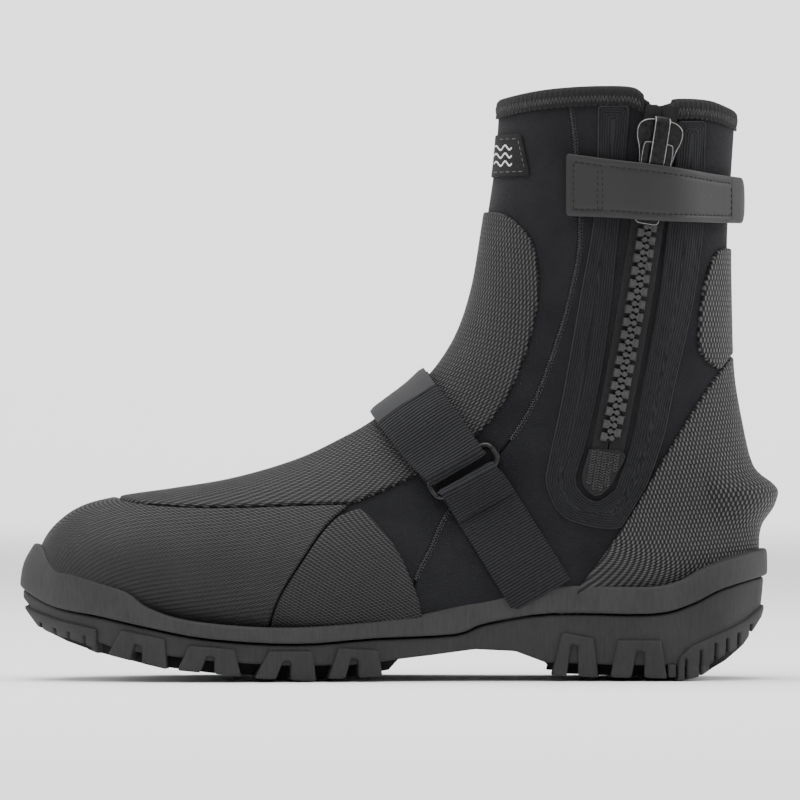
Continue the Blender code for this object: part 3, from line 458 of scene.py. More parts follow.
def panel(name, outlines, low, high, edge, surface, side=0, skin=None, crown=None, depth_grain=False):
    """A panel of the upper with rounded edges, between two lifts."""
    skin, depth = cut_region(skin or FORM, *outlines, side=side, edge=edge)
    lift = rounded_lift(depth, edge, low, high)
    if crown is not None:
        lift = lift + crown(skin, depth)
    if depth_grain:
        skin.grain[:, 1] = depth
    return shell(name, skin, low, lift, surface)


def on_wall(x, z, side=-1):
    """The point and outward normal of the form at this x and z in millimetres, on one side."""
    hit, normal, _, _ = WALL.ray_cast(Vector((x * MM, side * 0.2, z * MM)), Vector((0, -side, 0)))
    if hit is None:
        return None, None
    return np.array(hit), np.array(normal) * (1 if normal.y * side > 0 else -1)


def capsules(name, starts, ends, ups, width, rise, surface, ring=8, steps=5):
    """Many small threads as one piece: each is round, flattened towards up, from a start to an end."""
    starts, ends, ups = (np.asarray(item, float) for item in (starts, ends, ups))
    along = ends - starts
    across = unit(np.cross(along, ups))
    t = (1 - np.cos(np.linspace(0, math.pi, steps))) / 2
    girth = np.sqrt(np.clip(1 - (2 * t - 1) ** 4, 0.0, None)).clip(0.12)
    angles = np.arange(ring) * 2 * math.pi / ring
    centre = starts[:, None] + along[:, None] * t[:, None]
    spread = np.cos(angles)[:, None] * across[:, None] * width / 2
    spread = spread + np.sin(angles)[:, None] * ups[:, None] * rise / 2
    points = centre[:, :, None] + girth[None, :, None, None] * spread[:, None]
    faces = grid_faces(steps, ring)
    caps = []
    for k in range(1, ring - 1):
        caps.append((0, k, k + 1))
        last = (steps - 1) * ring
        caps.append((last, last + k + 1, last + k))
    one = np.concatenate([faces, caps])
    each = steps * ring
    all_faces = (one[None] + np.arange(len(starts))[:, None, None] * each).reshape(-1, 3)
    return mesh_object(name, points.reshape(-1, 3), all_faces, surface, sharp=80)


def resampled(line, step):
    """Points a step apart along a line."""
    line = np.array(line, float)
    length = np.concatenate([[0], np.cumsum(np.linalg.norm(np.diff(line, axis=0), axis=1))])
    count = max(2, int(round(length[-1] / step)) + 1)
    where = np.linspace(0, length[-1], count)
    return np.stack([np.interp(where, length, line[:, axis]) for axis in range(line.shape[1])], axis=1)


def wall_threads(name, lines, lift, surface, side=-1, width=0.55, rise=0.4):
    """Threads laid on the wall: each line is a start and an end (x, z) in millimetres."""
    starts, ends, ups = [], [], []
    for (x0, z0), (x1, z1) in lines:
        first, normal = on_wall(x0, z0, side)
        second, other = on_wall(x1, z1, side)
        if first is None or second is None:
            continue
        starts.append(first + normal * lift)
        ends.append(second + other * lift)
        ups.append(normal)
    return capsules(name, starts, ends, ups, width * MM, rise * MM, surface)


def dashes(line, stitch, gap):
    """Start and end points of stitches along a line."""
    step = 0.1
    fine = resampled(line, step)
    length = len(fine) * step
    made = []
    for start in np.arange(0, length - stitch, stitch + gap):
        a, b = int(start / step), int((start + stitch) / step)
        if b < len(fine):
            made.append((fine[a], fine[b]))
    return made


def zigzag(line, half_width, pitch):
    """A zigzag along a line: from one side to the other and back each pitch."""
    points = resampled(line, pitch / 2)
    left, right = shifted(points, half_width), shifted(points, -half_width)
    corners = np.where((np.arange(len(points)) % 2 == 0)[:, None], left, right)
    return list(zip(corners[:-1], corners[1:]))


# --------------------------------------------------------------------------------------------- materials


class Look:
    """A Principled material and the nodes behind its colour, roughness and bump."""

    def __init__(self, name, roughness=0.8, **settings):
        self.material = bpy.data.materials.new(name)
        self.material.use_nodes = True
        self.tree = self.material.node_tree
        self.shader = self.tree.nodes["Principled BSDF"]
        self.set("Roughness", roughness)
        for socket, value in settings.items():
            self.set(socket.replace("_", " "), value)

    def set(self, socket, value):
        self.shader.inputs[socket].default_value = value

    def node(self, kind, inputs=(), output=0, **settings):
        made = self.tree.nodes.new(kind)
        for key, value in settings.items():
            setattr(made, key, value)
        for key, value in dict(inputs).items():
            self.join(value, made.inputs[key])
        return made.outputs[output]

    def join(self, value, socket):
        if isinstance(value, bpy.types.NodeSocket):
            self.tree.links.new(value, socket)
        else:
            socket.default_value = value

    def math(self, operation, a, b=0.0, c=0.0):
        return self.node("ShaderNodeMath", {0: a, 1: b, 2: c}, operation=operation)

    def grain(self):
        """The three grain distances: round from the front, round from the back, along."""
        vector = self.node("ShaderNodeAttribute", attribute_name="grain", output=1)
        split = self.tree.nodes.new("ShaderNodeSeparateXYZ")
        self.tree.links.new(vector, split.inputs[0])
        return split.outputs

    def place(self):
        return self.node("ShaderNodeTexCoord", output=3)

    def noise(self, scale, detail=2.0, vector=None, roughness=0.5):
        inputs = {"Scale": scale, "Detail": detail, "Roughness": roughness,
                  "Vector": vector or self.place()}
        return self.node("ShaderNodeTexNoise", inputs)

    def stretch(self, vector, scale):
        return self.node("ShaderNodeMapping", {"Vector": vector, "Scale": scale})

    def colours(self, factor, dark, light, low=0.3, high=0.7):
        """A colour between two greys or colours, by a factor."""
        ramp = self.tree.nodes.new("ShaderNodeValToRGB")
        ramp.color_ramp.elements[0].position, ramp.color_ramp.elements[1].position = low, high
        ramp.color_ramp.elements[0].color = (*dark, 1)
        ramp.color_ramp.elements[1].color = (*light, 1)
        self.join(factor, ramp.inputs[0])
        return ramp.outputs[0]

    def paint(self, colour):
        if not isinstance(colour, bpy.types.NodeSocket):
            colour = (*colour, 1)
        self.join(colour, self.shader.inputs["Base Color"])
        return self

    def rough(self, factor, low, high):
        spread = self.node("ShaderNodeMapRange", {0: factor, 3: low, 4: high})
        self.join(spread, self.shader.inputs["Roughness"])
        return self

    def bump(self, heights, distance, strength=1.0):
        """Bumps laid over each other: heights is a list of (height, distance in metres)."""
        normal = None
        for height_socket, far in heights:
            inputs = {"Height": height_socket, "Strength": strength, "Distance": far * distance}
            if normal is not None:
                inputs["Normal"] = normal
            normal = self.node("ShaderNodeBump", inputs)
        self.join(normal, self.shader.inputs["Normal"])
        return self


def grey(value, blue=0.0):
    """A linear grey from an sRGB level out of 255, a little towards blue."""
    level = ((value / 255 + 0.055) / 1.055) ** 2.4
    return (level, level, level * (1 + blue))


def neoprene_look():
    look = Look("neoprene_jersey", 0.92, Sheen_Weight=0.08, Sheen_Roughness=0.4, Specular_IOR_Level=0.1)
    round_front, _, along = look.grain()[:3]
    ribs = look.math("SINE", look.math("MULTIPLY", round_front, 2 * math.pi / (0.75 * MM)))
    loops = look.math("SINE", look.math("MULTIPLY", along, 2 * math.pi / (0.9 * MM)))
    knit = look.math("MULTIPLY_ADD", ribs, 0.35, look.math("MULTIPLY_ADD", loops, 0.15, 0.5))
    cloud = look.noise(55, 3.0)
    fluff = look.noise(2400, 2.0)
    shade = look.math("MULTIPLY_ADD", cloud, 0.5, look.math("MULTIPLY", fluff, 0.5))
    look.paint(look.colours(shade, grey(23, 0.12), grey(37, 0.12)))
    return look.bump([(knit, 0.12 * MM), (fluff, 0.12 * MM)], 1.0).material


def lining_look():
    look = Look("plush_lining", 0.95, Sheen_Weight=0.1, Specular_IOR_Level=0.1)
    look.paint(look.colours(look.noise(900, 3.0), grey(18), grey(30)))
    return look.bump([(look.noise(1300, 3.0), 0.3 * MM)], 1.0).material


def guard_look(name, from_back, dark, light, first, second):
    """Moulded rubber with staggered rice-grain pips, where two waves cross. Each wave is given by its
    cycles for each millimetre round the foot and along it."""
    look = Look(name, 0.6, Specular_IOR_Level=0.3)
    grain = look.grain()
    waves = []
    for round_it, along in (first, second):
        turn = 2 * math.pi / MM
        phase = look.math("MULTIPLY_ADD", grain[1 if from_back else 0], round_it * turn,
                          look.math("MULTIPLY", grain[2], along * turn))
        waves.append(look.math("COSINE", phase))
    crossed = look.math("ADD", *waves)
    pip = look.node("ShaderNodeMapRange", {0: crossed, 1: -0.7, 2: 1.3, 3: 0.0, 4: 1.0},
                    interpolation_type="SMOOTHSTEP")
    cloud = look.noise(38, 3.0)
    dust = look.noise(1500, 2.0)
    haze = look.math("MULTIPLY_ADD", cloud, 0.2, look.math("MULTIPLY", dust, 0.12))
    # Painted light and shade: the colour runs from near black in the gaps between the pips to light on their
    # tops.
    tone = look.math("MULTIPLY_ADD", pip, 0.72, haze)
    look.paint(look.colours(tone, dark, light, 0.2, 0.9))
    look.rough(tone, 0.75, 0.5)
    return look.bump([(pip, 1.0 * MM), (dust, 0.06 * MM)], 1.0).material


def rubber_look(name, dark, light, roughness=0.7, streak=(900, 900, 160)):
    look = Look(name, roughness, Specular_IOR_Level=0.25)
    cloud = look.noise(45, 3.0)
    fine = look.noise(1.0, 2.0, look.stretch(look.place(), streak))
    tone = look.math("MULTIPLY_ADD", cloud, 0.5, look.math("MULTIPLY", fine, 0.5))
    look.paint(look.colours(tone, dark, light))
    look.rough(fine, roughness - 0.08, roughness + 0.1)
    return look.bump([(fine, 0.12 * MM), (look.noise(2200, 2.0), 0.05 * MM)], 1.0).material


def cloth_look(name, dark, light, pitch_u=0.6, pitch_v=0.6, roughness=0.9, relief=0.12, rib=0.0,
               rib_grain=2):
    """A tight weave or knit that follows the grain, with ribs along one of its directions."""
    look = Look(name, roughness, Sheen_Weight=0.06, Specular_IOR_Level=0.12)
    grain = look.grain()
    u = look.math("SINE", look.math("MULTIPLY", grain[0], 2 * math.pi / (pitch_u * MM)))
    v = look.math("SINE", look.math("MULTIPLY", grain[2], 2 * math.pi / (pitch_v * MM)))
    weave = look.math("MULTIPLY_ADD", look.math("MULTIPLY", u, v), 0.5, 0.5)
    if rib:
        # The wave darkens the colour once each rib pitch. On the webbing it matches the geometric ribs in
        # pitch and phase, so there it is painted shade: darker in the valleys, lighter on the crests.
        wave = look.math("COSINE", look.math("MULTIPLY", grain[rib_grain], 2 * math.pi / (rib * MM)))
        weave = look.math("MULTIPLY_ADD", wave, -0.4, look.math("MULTIPLY_ADD", weave, 0.2, 0.4))
    fluff = look.noise(1800, 3.0)
    tone = look.math("MULTIPLY_ADD", weave, 0.45, look.math("MULTIPLY", fluff, 0.55))
    look.paint(look.colours(tone, dark, light, 0.25, 0.75))
    return look.bump([(weave, relief * MM), (fluff, 0.1 * MM)], 1.0).material


def thread_look(name, dark, light):
    look = Look(name, 0.75, Sheen_Weight=0.1, Specular_IOR_Level=0.25)
    twist = look.noise(1.0, 1.0, look.stretch(look.place(), (2600, 2600, 900)))
    look.paint(look.colours(twist, dark, light))
    return look.bump([(twist, 0.08 * MM)], 1.0).material


def metal_look(name, dark, light, roughness=0.38, metallic=0.85):
    look = Look(name, roughness, Metallic=metallic)
    cast = look.noise(700, 3.0)
    look.paint(look.colours(cast, dark, light))
    look.rough(cast, roughness - 0.08, roughness + 0.12)
    return look.bump([(cast, 0.03 * MM)], 1.0).material


# Shared by the webbing's geometric ribs and its colour ribs, so its colour is painted darker in the rib
# valleys: painted shade.
RIB_PITCH = 1.2


def strap_look():
    look = Look("satin_strap_rubber", 0.5, Specular_IOR_Level=0.5)
    cloud = look.noise(30, 3.0)
    fine = look.noise(2600, 2.0)
    tone = look.math("MULTIPLY_ADD", cloud, 0.6, look.math("MULTIPLY", fine, 0.4))
    look.paint(look.colours(tone, grey(13), grey(22)))
    look.rough(fine, 0.46, 0.64)
    return look.bump([(fine, 0.04 * MM), (look.noise(160, 3.0), 0.1 * MM)], 1.0).material


def make_looks():
    return {
        "neoprene": neoprene_look(),
        "lining": lining_look(),
        # The heel and Achilles rubbers get lighter greys than the shin, toe and wedge rubbers: painted
        # light, for the brighter light on the back of the boot.
        "shin": guard_look("shin_rubber", False, grey(10), grey(68), (0.58, 0.36), (0.63, -0.14)),
        "toe": guard_look("toe_rubber", False, grey(10), grey(68), (0.3625, -0.5075), (-0.195, -0.5175)),
        "wedge": guard_look("wedge_rubber", False, grey(8), grey(64), (0.4975, -0.4), (-0.1075, -0.4875)),
        "heel": guard_look("heel_rubber", True, grey(12), grey(84), (0.59, 0.3), (0.56, -0.25)),
        "achilles": guard_look("achilles_rubber", True, grey(14), grey(88), (0.56, 0.26), (0.56, -0.22)),
        "rand": rubber_look("rand_rubber", grey(42), grey(58)),
        "outsole": rubber_look("outsole_rubber", grey(38), grey(52), 0.75),
        # Painted shade: the outsole's rubber made darker for its core, which shows in the gaps between the
        # tread blocks.
        "tread": rubber_look("tread_rubber_painted_shade", grey(16), grey(26), 0.85),
        "hooks": rubber_look("hook_tape", grey(26), grey(46), 0.6, (1800, 1800, 1800)),
        "pile": cloth_look("loop_pile", grey(20), grey(44), 0.9, 0.9, 0.95, 0.35),
        "foam": rubber_look("eva_foam", grey(24), grey(36), 0.9, (1400, 1400, 1400)),
        "binding": cloth_look("collar_knit", grey(22), grey(40), 0.8, 0.8, 0.95, 0.25),
        "u_tape": cloth_look("u_tape_knit", grey(17, 0.12), grey(40, 0.12), 0.7, 0.5, relief=0.2, rib=0.95,
                             rib_grain=1),
        "zip_tape": cloth_look("zip_tape_weave", grey(24), grey(44), 0.5, 0.45, 0.85),
        "label": cloth_look("label_weave", grey(14), grey(24), 0.35, 0.35, 0.8),
        "mark": cloth_look("label_mark", grey(205), grey(235), 0.35, 0.35, 0.8),
        # Painted shade: the webbing's colour ribs fall in the valleys of its geometric ribs.
        "webbing": cloth_look("webbing_weave", grey(14, 0.12), grey(46, 0.12), 0.5, 0.5, 0.85, 0.25,
                              RIB_PITCH),
        "grip": cloth_look("grip_tab_weave", grey(46, 0.05), grey(60, 0.05), 0.5, 0.4, 0.7, 0.05),
        "thread": thread_look("dark_thread", grey(30), grey(64)),
        "bright_thread": thread_look("grey_thread", grey(64), grey(104)),
        "black_thread": thread_look("black_thread", grey(8), grey(16)),
        "teeth": rubber_look("moulded_teeth", grey(48), grey(66), 0.36, (1500, 1500, 1500)),
        "metal": metal_look("slider_metal", grey(26), grey(44)),
        # Painted highlight: a bright metal for the thin wires laid along the slider's and the puller's
        # edges.
        "painted_highlight_metal": metal_look("painted_highlight_edge_metal", grey(120), grey(160), 0.35),
        "ring": metal_look("ring_metal", grey(34), grey(56), 0.34),
        "strap": strap_look(),
    }


# ------------------------------------------------------------------------------------------- the upper

RUBBER_LOW = 0.3 * MM
RUBBER_HIGH = 1.8 * MM
NEOPRENE = 4.5 * MM
FOOT_FLOOR = 4.8


def upper_above(by=FOOT_FLOOR):
    return everything_above(FLOOR, by)


def below_collar_line(by):
    """All that lies under the collar's edge, the whole foot among it."""
    line = raised(smooth(COLLAR, 4), by)
    ends = [(-190, line[0][1])], [(190, line[-1][1]), (190, -40), (-190, -40)]
    return np.vstack([ends[0], line, ends[1]])


def make_neoprene():
    below_collar = below_collar_line(-1.4)
    seam_behind, seam_front = behind(FRONT_SEAM, 0.1), front_of(0.1, FRONT_SEAM)
    slot = chain_band(-SLOT_HALF, SLOT_HALF, -0.02, 1.3)
    look = LOOKS["neoprene"]
    edge = 1.0 * MM
    front = panel("front_neoprene", [upper_above(), below_collar, seam_front], -NEOPRENE, 0, edge, look)
    mount(front, nodes=["front_panel"])
    for name, side in (("lateral", 1), ("medial", -1)):
        skin, depth = cut_region(FORM, upper_above(), below_collar, seam_behind, side=side, edge=edge)
        if side < 0:
            skin, _, depth = cut_with(skin, -outline_depth(skin.points, slot), depth)
        lift = rounded_lift(depth, edge, -NEOPRENE, 0)
        quarter = shell(f"{name}_neoprene", skin, -NEOPRENE, lift, look)
        mount(quarter, nodes=[f"{name}_quarter"])
    lining = panel("lining", [upper_above(), below_collar], -NEOPRENE - 0.7 * MM, -NEOPRENE - 0.1 * MM,
                   edge,
                   LOOKS["lining"])
    mount(lining)


def cut_with(skin, value, extra):
    """A cut that carries one more value along with the skin."""
    carried = Skin(skin.points, skin.normals, np.column_stack([skin.grain, extra]), skin.faces)
    carried, value = cut(carried, value)
    return carried._replace(grain=carried.grain[:, :3]), value, carried.grain[:, 3]


def make_collar():
    """The binding wraps over the collar's edge, from the rear of the zip round to the front of it."""
    columns = AROUND
    grid = FORM.points.reshape(-1, columns, 3)
    normal = FORM.normals.reshape(-1, columns, 3)
    collar = smooth(COLLAR, 6)
    profile = [(-5.0, -7.2), (-5.2, -4.0), (-5.3, -1.6), (-4.6, -0.4), (-3.2, 0.0), (-1.6, 0.0),
               (-0.2, -0.4),
               (0.9, -1.6), (1.3, -3.9), (1.0, -6.6), (1.15, -7.3), (0.9, -8.0), (0.1, -7.9), (0.1, -5.0),
               (0.1, -3.0), (-0.6, -1.8), (-2.2, -1.5), (-3.8, -1.8), (-4.55, -3.0), (-4.55, -5.0)]
    loops = []
    for j in range(columns):
        x = grid[:6, j, 0].mean() / MM
        top = height(collar, x)
        heights = grid[:24, j, 2][::-1] / MM
        loop = []
        for lift, drop in profile:
            z = top + drop
            where = [np.interp(z, heights, grid[:24, j, axis][::-1]) for axis in range(3)]
            out = unit(np.array([np.interp(z, heights, normal[:24, j, axis][::-1]) for axis in range(3)]))
            loop.append(np.array(where) + out * lift * MM)
        loops.append(loop)
    loops = np.array(loops)
    front_end, rear_end = 96.6, 106.6
    x = loops[:, 0, 0] / MM
    medial = loops[:, 8, 1] < 0
    gap = medial & (x > front_end) & (x < rear_end)
    order = np.roll(np.arange(columns), -int(np.flatnonzero(gap)[-1]) - 1)
    order = order[~gap[order]]
    ring = loops[order]
    around = np.concatenate([[0], np.cumsum(np.linalg.norm(np.diff(ring[:, 8], axis=0), axis=1))])
    fine = np.linspace(0, around[-1], 700)
    columns = range(ring.shape[1])
    ring = np.stack([[np.interp(fine, around, ring[:, k, axis]) for k in columns] for axis in range(3)])
    ring = puckered(ring.transpose(2, 1, 0), fine)
    around_profile = np.concatenate([[0], np.cumsum(np.linalg.norm(np.diff(ring[0], axis=0), axis=1))])
    grain = np.stack(np.broadcast_arrays(fine[:, None], fine[:, None] * 0, around_profile[None]), axis=2)
    piece = tube_object("collar_binding_knit", ring, LOOKS["binding"], grain)
    mount(piece, nodes=["collar_binding"])
    return ring


def puckered(ring, fine):
    """The binding draws in a little at each stitch."""
    outside = list(range(6, 13))
    middle = ring.mean(axis=1, keepdims=True)
    pull = 0.10 * MM * (np.cos(fine * 2 * math.pi / (2.4 * MM)) - 1)
    out = unit(ring[:, outside] - middle)
    ring[:, outside] += out * pull[:, None, None]
    return ring


def tube_object(name, rings, surface, grain=None, sharp=50):
    """A closed piece through rings of points, with its ends filled."""
    count, around = rings.shape[:2]
    faces = grid_faces(count, around)
    first, last = np.arange(around), np.arange(around) + (count - 1) * around
    caps = [(first[0], first[k], first[k + 1]) for k in range(1, around - 1)]
    caps += [(last[0], last[k + 1], last[k]) for k in range(1, around - 1)]
    points = rings.reshape(-1, 3)
    faces = np.concatenate([faces, caps])
    a, b, c = (points[faces[:, k]] for k in range(3))
    if np.einsum("ij,ij->i", a, np.cross(b, c)).sum() < 0:
        faces = faces[:, ::-1]
    flat_grain = grain.reshape(-1, 3) if grain is not None else None
    return mesh_object(name, points, faces, surface, flat_grain, sharp)


def above_heel_edge(front):
    """All that lies above the heel cap's edge, from a front limit in millimetres."""
    edge = shifted(smooth(HEEL_EDGE, 4), -0.4)[::-1]
    return np.vstack([[(front, -20)], edge, [(150, 140), (190, 300), (front, 300)]])


def make_guards():
    crease, wedge = shifted(smooth(CREASE, 4), 0.25)[2:], shifted(smooth(WEDGE_EDGE, 4), -0.2)[2:]
    floor = upper_above()
    heel = behind(HEEL_EDGE, 0)
    edge = 0.9 * MM
    low, high = RUBBER_LOW - 0.25 * MM, RUBBER_HIGH
    tendon = np.vstack([smooth(ACHILLES, 4), [(150, 120), (160, 172.9)]])
    guards = (
        ("shin_guard_rubber", "shin_guard", [front_of(0.25, GUARD_EDGE, TOE_LINE), floor], "shin", 0, None),
        ("toe_cap_rubber", "toe_cap", [front_of(0.25, TOE_LINE[::-1], CREASE), floor], "toe", 0, None),
        ("medial_wedge_rubber", "medial_toe_wedge", [band(crease, wedge), floor], "wedge", -1, None),
        ("lateral_wedge_rubber", "lateral_toe_wedge", [band(crease, wedge), floor], "wedge", 1, None),
        ("heel_cap_rubber", "heel_cap", [heel, floor], "heel", 0, kicker_rise),
        ("achilles_rubber", "achilles_patch", [tendon, above_heel_edge(60)], "achilles", 0, None),
    )
    for name, node, outlines, look, side, crown in guards:
        piece = panel(name, outlines, low, high, edge, LOOKS[look], side, crown=crown)
        mount(piece, nodes=[node])


KICKER_PROFILE = (
    (54, 0), (58, 0.2), (62.4, 1.6), (66, 4.6), (68.8, 6.8), (73.6, 8.9), (76, 8.2), (78.4, 6.2),
    (81, 3.2), (84.8, 0.8), (90, 0),
)
KICKER_REACH = 27 * MM


def kicker_rise(skin, depth):
    """The ridge across the heel: how far it stands out, at each point."""
    rise = height(smooth(KICKER_PROFILE, 5), skin.points[:, 2] / MM) * MM
    fade = np.clip(1 - (np.abs(skin.points[:, 1]) / KICKER_REACH) ** 4, 0, 1)
    return np.where(skin.points[:, 0] > 0.1, rise * fade, 0)


def make_label():
    label = panel("label_cloth", [LABEL], 0.1 * MM, 0.9 * MM, 0.5 * MM, LOOKS["label"])
    mount(label, nodes=["label"])
    edges = (((24, 216.4), (47.6, 216.4)), ((24, 203.2), (50.4, 203.2)), ((47.9, 215.6), (50.4, 203.8)))
    threads = [stitch for line in edges for stitch in dashes(line, 1.5, 0.9)]
    mount(wall_threads("label_stitches", threads, 0.95 * MM, LOOKS["bright_thread"], width=0.35))
    waves = []
    for level in (206.6, 209.8, 213.0):
        x = np.linspace(38.6, 45.4, 15)
        wave = np.stack([x, level + 1.0 * np.sin((x - 38.6) * 2 * math.pi / 3.4)], axis=1)
        waves += list(zip(wave[:-1], wave[1:]))
    mount(wall_threads("label_mark", waves, 0.85 * MM, LOOKS["mark"], width=0.9, rise=0.5))


# ----------------------------------------------------------------------------------------------- the zip


def make_zip():
    top_cut = below_collar_line(-0.4)
    for name, sign in (("front", -1), ("rear", 1)):
        strip = chain_band(0.15 * sign, TAPE_HALF * sign, -0.03, 1.06)
        tape = panel(f"zip_{name}_tape", [strip, top_cut], 0.1 * MM, 0.9 * MM, 0.4 * MM,
                     LOOKS["zip_tape"], -1)
        mount(tape, nodes=[f"zip_tape_{name}"])
        teeth = teeth_row(f"zip_{name}_teeth", sign)
        mount(teeth, nodes=[f"zip_chain_{name}", f"zip_top_stop_{name}"])
    outer = [smooth(U_OUTER, 5), smooth(U_RIGHT_OUTER, 5)[::-1]]
    outline = np.vstack([*outer, smooth(U_RIGHT_INNER, 5), smooth(U_INNER, 5)[::-1]])
    tape = panel("u_tape_knit", [outline, above_heel_edge(0)], 0.1 * MM, 1.5 * MM, 0.8 * MM,
                 LOOKS["u_tape"], -1, crown=tape_ribs, depth_grain=True)
    mount(tape, nodes=["zip_u_tape"])
    foot = smooth(BOTTOM_PATCH + BOTTOM_PATCH[:1], 4)
    patch = panel("zip_foot_patch", [foot], 0.9 * MM, 1.9 * MM, 0.5 * MM, LOOKS["zip_tape"], -1)
    mount(patch, nodes=["zip_bottom_patch"])
    chevrons = []
    lean = unit(np.array(ZIP_HEAD) - ZIP_FOOT)
    across = np.array([lean[1], -lean[0]])
    for column in np.arange(-2, 3):
        for row in np.arange(0, 15):
            middle = np.array((81.6, 90.4)) + across * column * 2.3 - lean * row * 1.05
            if outline_depth(np.array([[middle[0] * MM, 0, middle[1] * MM]]), BOTTOM_PATCH)[0] < 0.9 * MM:
                continue
            for sign in (-1, 1):
                chevrons.append((middle, middle + across * sign * 1.0 + lean * 0.85))
    mount(wall_threads("zip_foot_chevrons", chevrons, 2.0 * MM, LOOKS["thread"], width=0.55, rise=0.5))


def tape_ribs(skin, depth):
    """Long ribs that follow the tape's edge."""
    grooves = sum(np.exp(-(((depth - middle * MM) / (0.3 * MM)) ** 2)) for middle in (1.5, 2.7))
    return -0.5 * MM * grooves


TOOTH_PITCH = 5.15


def chain_frame(share, offset=0.0):
    """A place on the chain: its point on the wall, across to the rear, up the chain, and outwards."""
    here = chain_line(offset, share, share, 1)[0]
    there = chain_line(offset, share + 0.01, share + 0.01, 1)[0]
    point, out = on_wall(*here)
    ahead, _ = on_wall(*there)
    up = unit(ahead - point)
    across = unit(np.cross(up, out))
    return point, across, up, unit(np.cross(across, up))


def tooth_outline():
    """One tooth seen from outside, in millimetres: a block on the tape, a neck and a round head."""
    block = [(3.9, -1.75), (3.9, 1.75), (1.35, 1.75), (1.15, 0.8)]
    neck = [(0.35, 0.55)]
    head = [(-0.55 + 1.3 * math.cos(a), 1.25 * math.sin(a)) for a in np.radians(np.arange(50, 311, 26))]
    return block + neck + head + [(0.35, -0.55), (1.15, -0.8), (1.35, -1.75)]


def signed_area(outline):
    """Twice the area of a closed outline: above 0 where it runs counter-clockwise."""
    x, y = np.asarray(outline, float)[:, :2].T
    return np.sum(x * np.roll(y, -1) - np.roll(x, -1) * y)


def prism_rings(outline, levels):
    """Rings of an outline at (height, inset) levels, in millimetres."""
    outline = np.array(outline, float)
    rings = []
    for level, inset in levels:
        ring = shifted_closed(outline, -inset)
        rings.append(np.column_stack([ring, np.full(len(ring), level)]))
    return np.array(rings)


def shifted_closed(outline, distance):
    """A closed outline moved outwards."""
    run = unit(np.roll(outline, -1, axis=0) - np.roll(outline, 1, axis=0))
    side = 1 if signed_area(outline) > 0 else -1
    return outline + side * distance * np.stack([run[:, 1], -run[:, 0]], axis=1)


def solid_prism(outline, levels):
    """Points and faces of a plate with chamfered edges, from an outline and (height, inset) levels."""
    rings = prism_rings(outline, levels)
    count, around = rings.shape[:2]
    faces = [tuple(face) for face in grid_faces(count, around)]
    caps = [tuple(range(around)), tuple(range(around * (count - 1), around * count))]
    return rings.reshape(-1, 3), faces, caps, signed_area(rings[0]) > 0


def plate_mesh(outlines_levels, matrices, name, surface, sharp=35):
    """Copies of plates as one piece: each plate's outline and levels, placed by each matrix."""
    mesh_faces, mesh_points = [], []
    for outline, levels in outlines_levels:
        points, faces, caps, forward = solid_prism(outline, levels)
        low, high = (caps[0], caps[1]) if levels[0][0] < levels[-1][0] else (caps[1], caps[0])
        low_cap, high_cap = (low[::-1], high) if forward else (low, high[::-1])
        rising = levels[0][0] < levels[-1][0]
        sides = faces if rising != forward else [face[::-1] for face in faces]
        for matrix in matrices:
            start = sum(len(item) for item in mesh_points)
            placed = np.column_stack([points * MM, np.ones(len(points))]) @ np.array(matrix).T
            mesh_points.append(placed[:, :3])
            mesh_faces += [tuple(np.array(face) + start) for face in [*sides, low_cap, high_cap]]
    mesh = bpy.data.meshes.new(name)
    corners = [tuple(int(i) for i in face) for face in mesh_faces]
    mesh.from_pydata(np.concatenate(mesh_points).tolist(), [], corners)
    mesh.validate()
    mesh.materials.append(surface)
    mesh.shade_smooth()
    mesh.set_sharp_from_angle(angle=math.radians(sharp))
    made = bpy.data.objects.new(name, mesh)
    bpy.context.scene.collection.objects.link(made)
    return made


def matrix_of(point, across, up, out, flip=False):
    matrix = np.eye(4)
    matrix[:3, 0] = -across if flip else across
    matrix[:3, 1] = -up if flip else up
    matrix[:3, 2] = out
    matrix[:3, 3] = point
    return matrix


def teeth_row(name, sign):
    length = np.linalg.norm(np.array(ZIP_HEAD) - ZIP_FOOT)
    first = TOOTH_PITCH * (0.5 if sign < 0 else 1.0)
    places = np.arange(first, length + 2, TOOTH_PITCH) / length
    matrices = []
    for share in places:
        point, across, up, out = chain_frame(share)
        matrices.append(matrix_of(point, across, up, out, flip=sign < 0))
    raised_face = [(3.7, -1.2), (3.7, 1.2), (2.0, 1.2), (2.0, -1.2)]
    plates = [(tooth_outline(), ((0.95, 0.0), (2.45, 0.0), (2.85, 0.28))),
              (raised_face, ((2.7, 0), (3.05, 0.15)))]
    return plate_mesh(plates, matrices, name, LOOKS["teeth"])


# ------------------------------------------------------------------------------------- the slider and
# puller


def slide_frame():
    """The slide's frame as in the CAD: the puller joint's axis runs across it."""
    across = -np.array(JOINTS["puller_lift"]["axis"])
    up = -np.array(JOINTS["zip_slide"]["axis"])
    hinge = np.array(JOINTS["puller_lift"]["pos_m"])
    out = unit(np.cross(across, up))
    up = unit(np.cross(out, across))
    middle = hinge - up * 3.2 * MM - out * 5.2 * MM
    return middle, unit(across), up, out


def keyhole():
    """Half of the slider's plate, down its rear side, in millimetres."""
    shoulder = [(0, 13.6), (3.4, 13.4), (6.6, 12.6), (8.8, 10.8), (9.5, 8.2), (9.0, 4.8), (7.8, 1.4)]
    return smooth(shoulder + [(6.9, -3.2), (6.4, -8.0), (5.8, -12.0), (4.0, -14.2), (0, -14.4)], 3)


def mirrored(half):
    return np.vstack([half[:-1], (half * (-1, 1))[::-1][:-1]])


def placed_rings(path, side, top, radius, count, matrix):
    """Circles round each point of a path in millimetres, placed by a matrix in metres."""
    angles = np.arange(count) * 2 * math.pi / count
    spread = np.cos(angles)[None, :, None] * side[:, None] + np.sin(angles)[None, :, None] * top[:, None]
    return placed_points(path[:, None] + radius * spread, matrix)


def placed_points(rings, matrix):
    flat = np.column_stack([rings.reshape(-1, 3) * MM, np.ones(rings.size // 3)]) @ np.array(matrix).T
    return flat[:, :3].reshape(rings.shape)


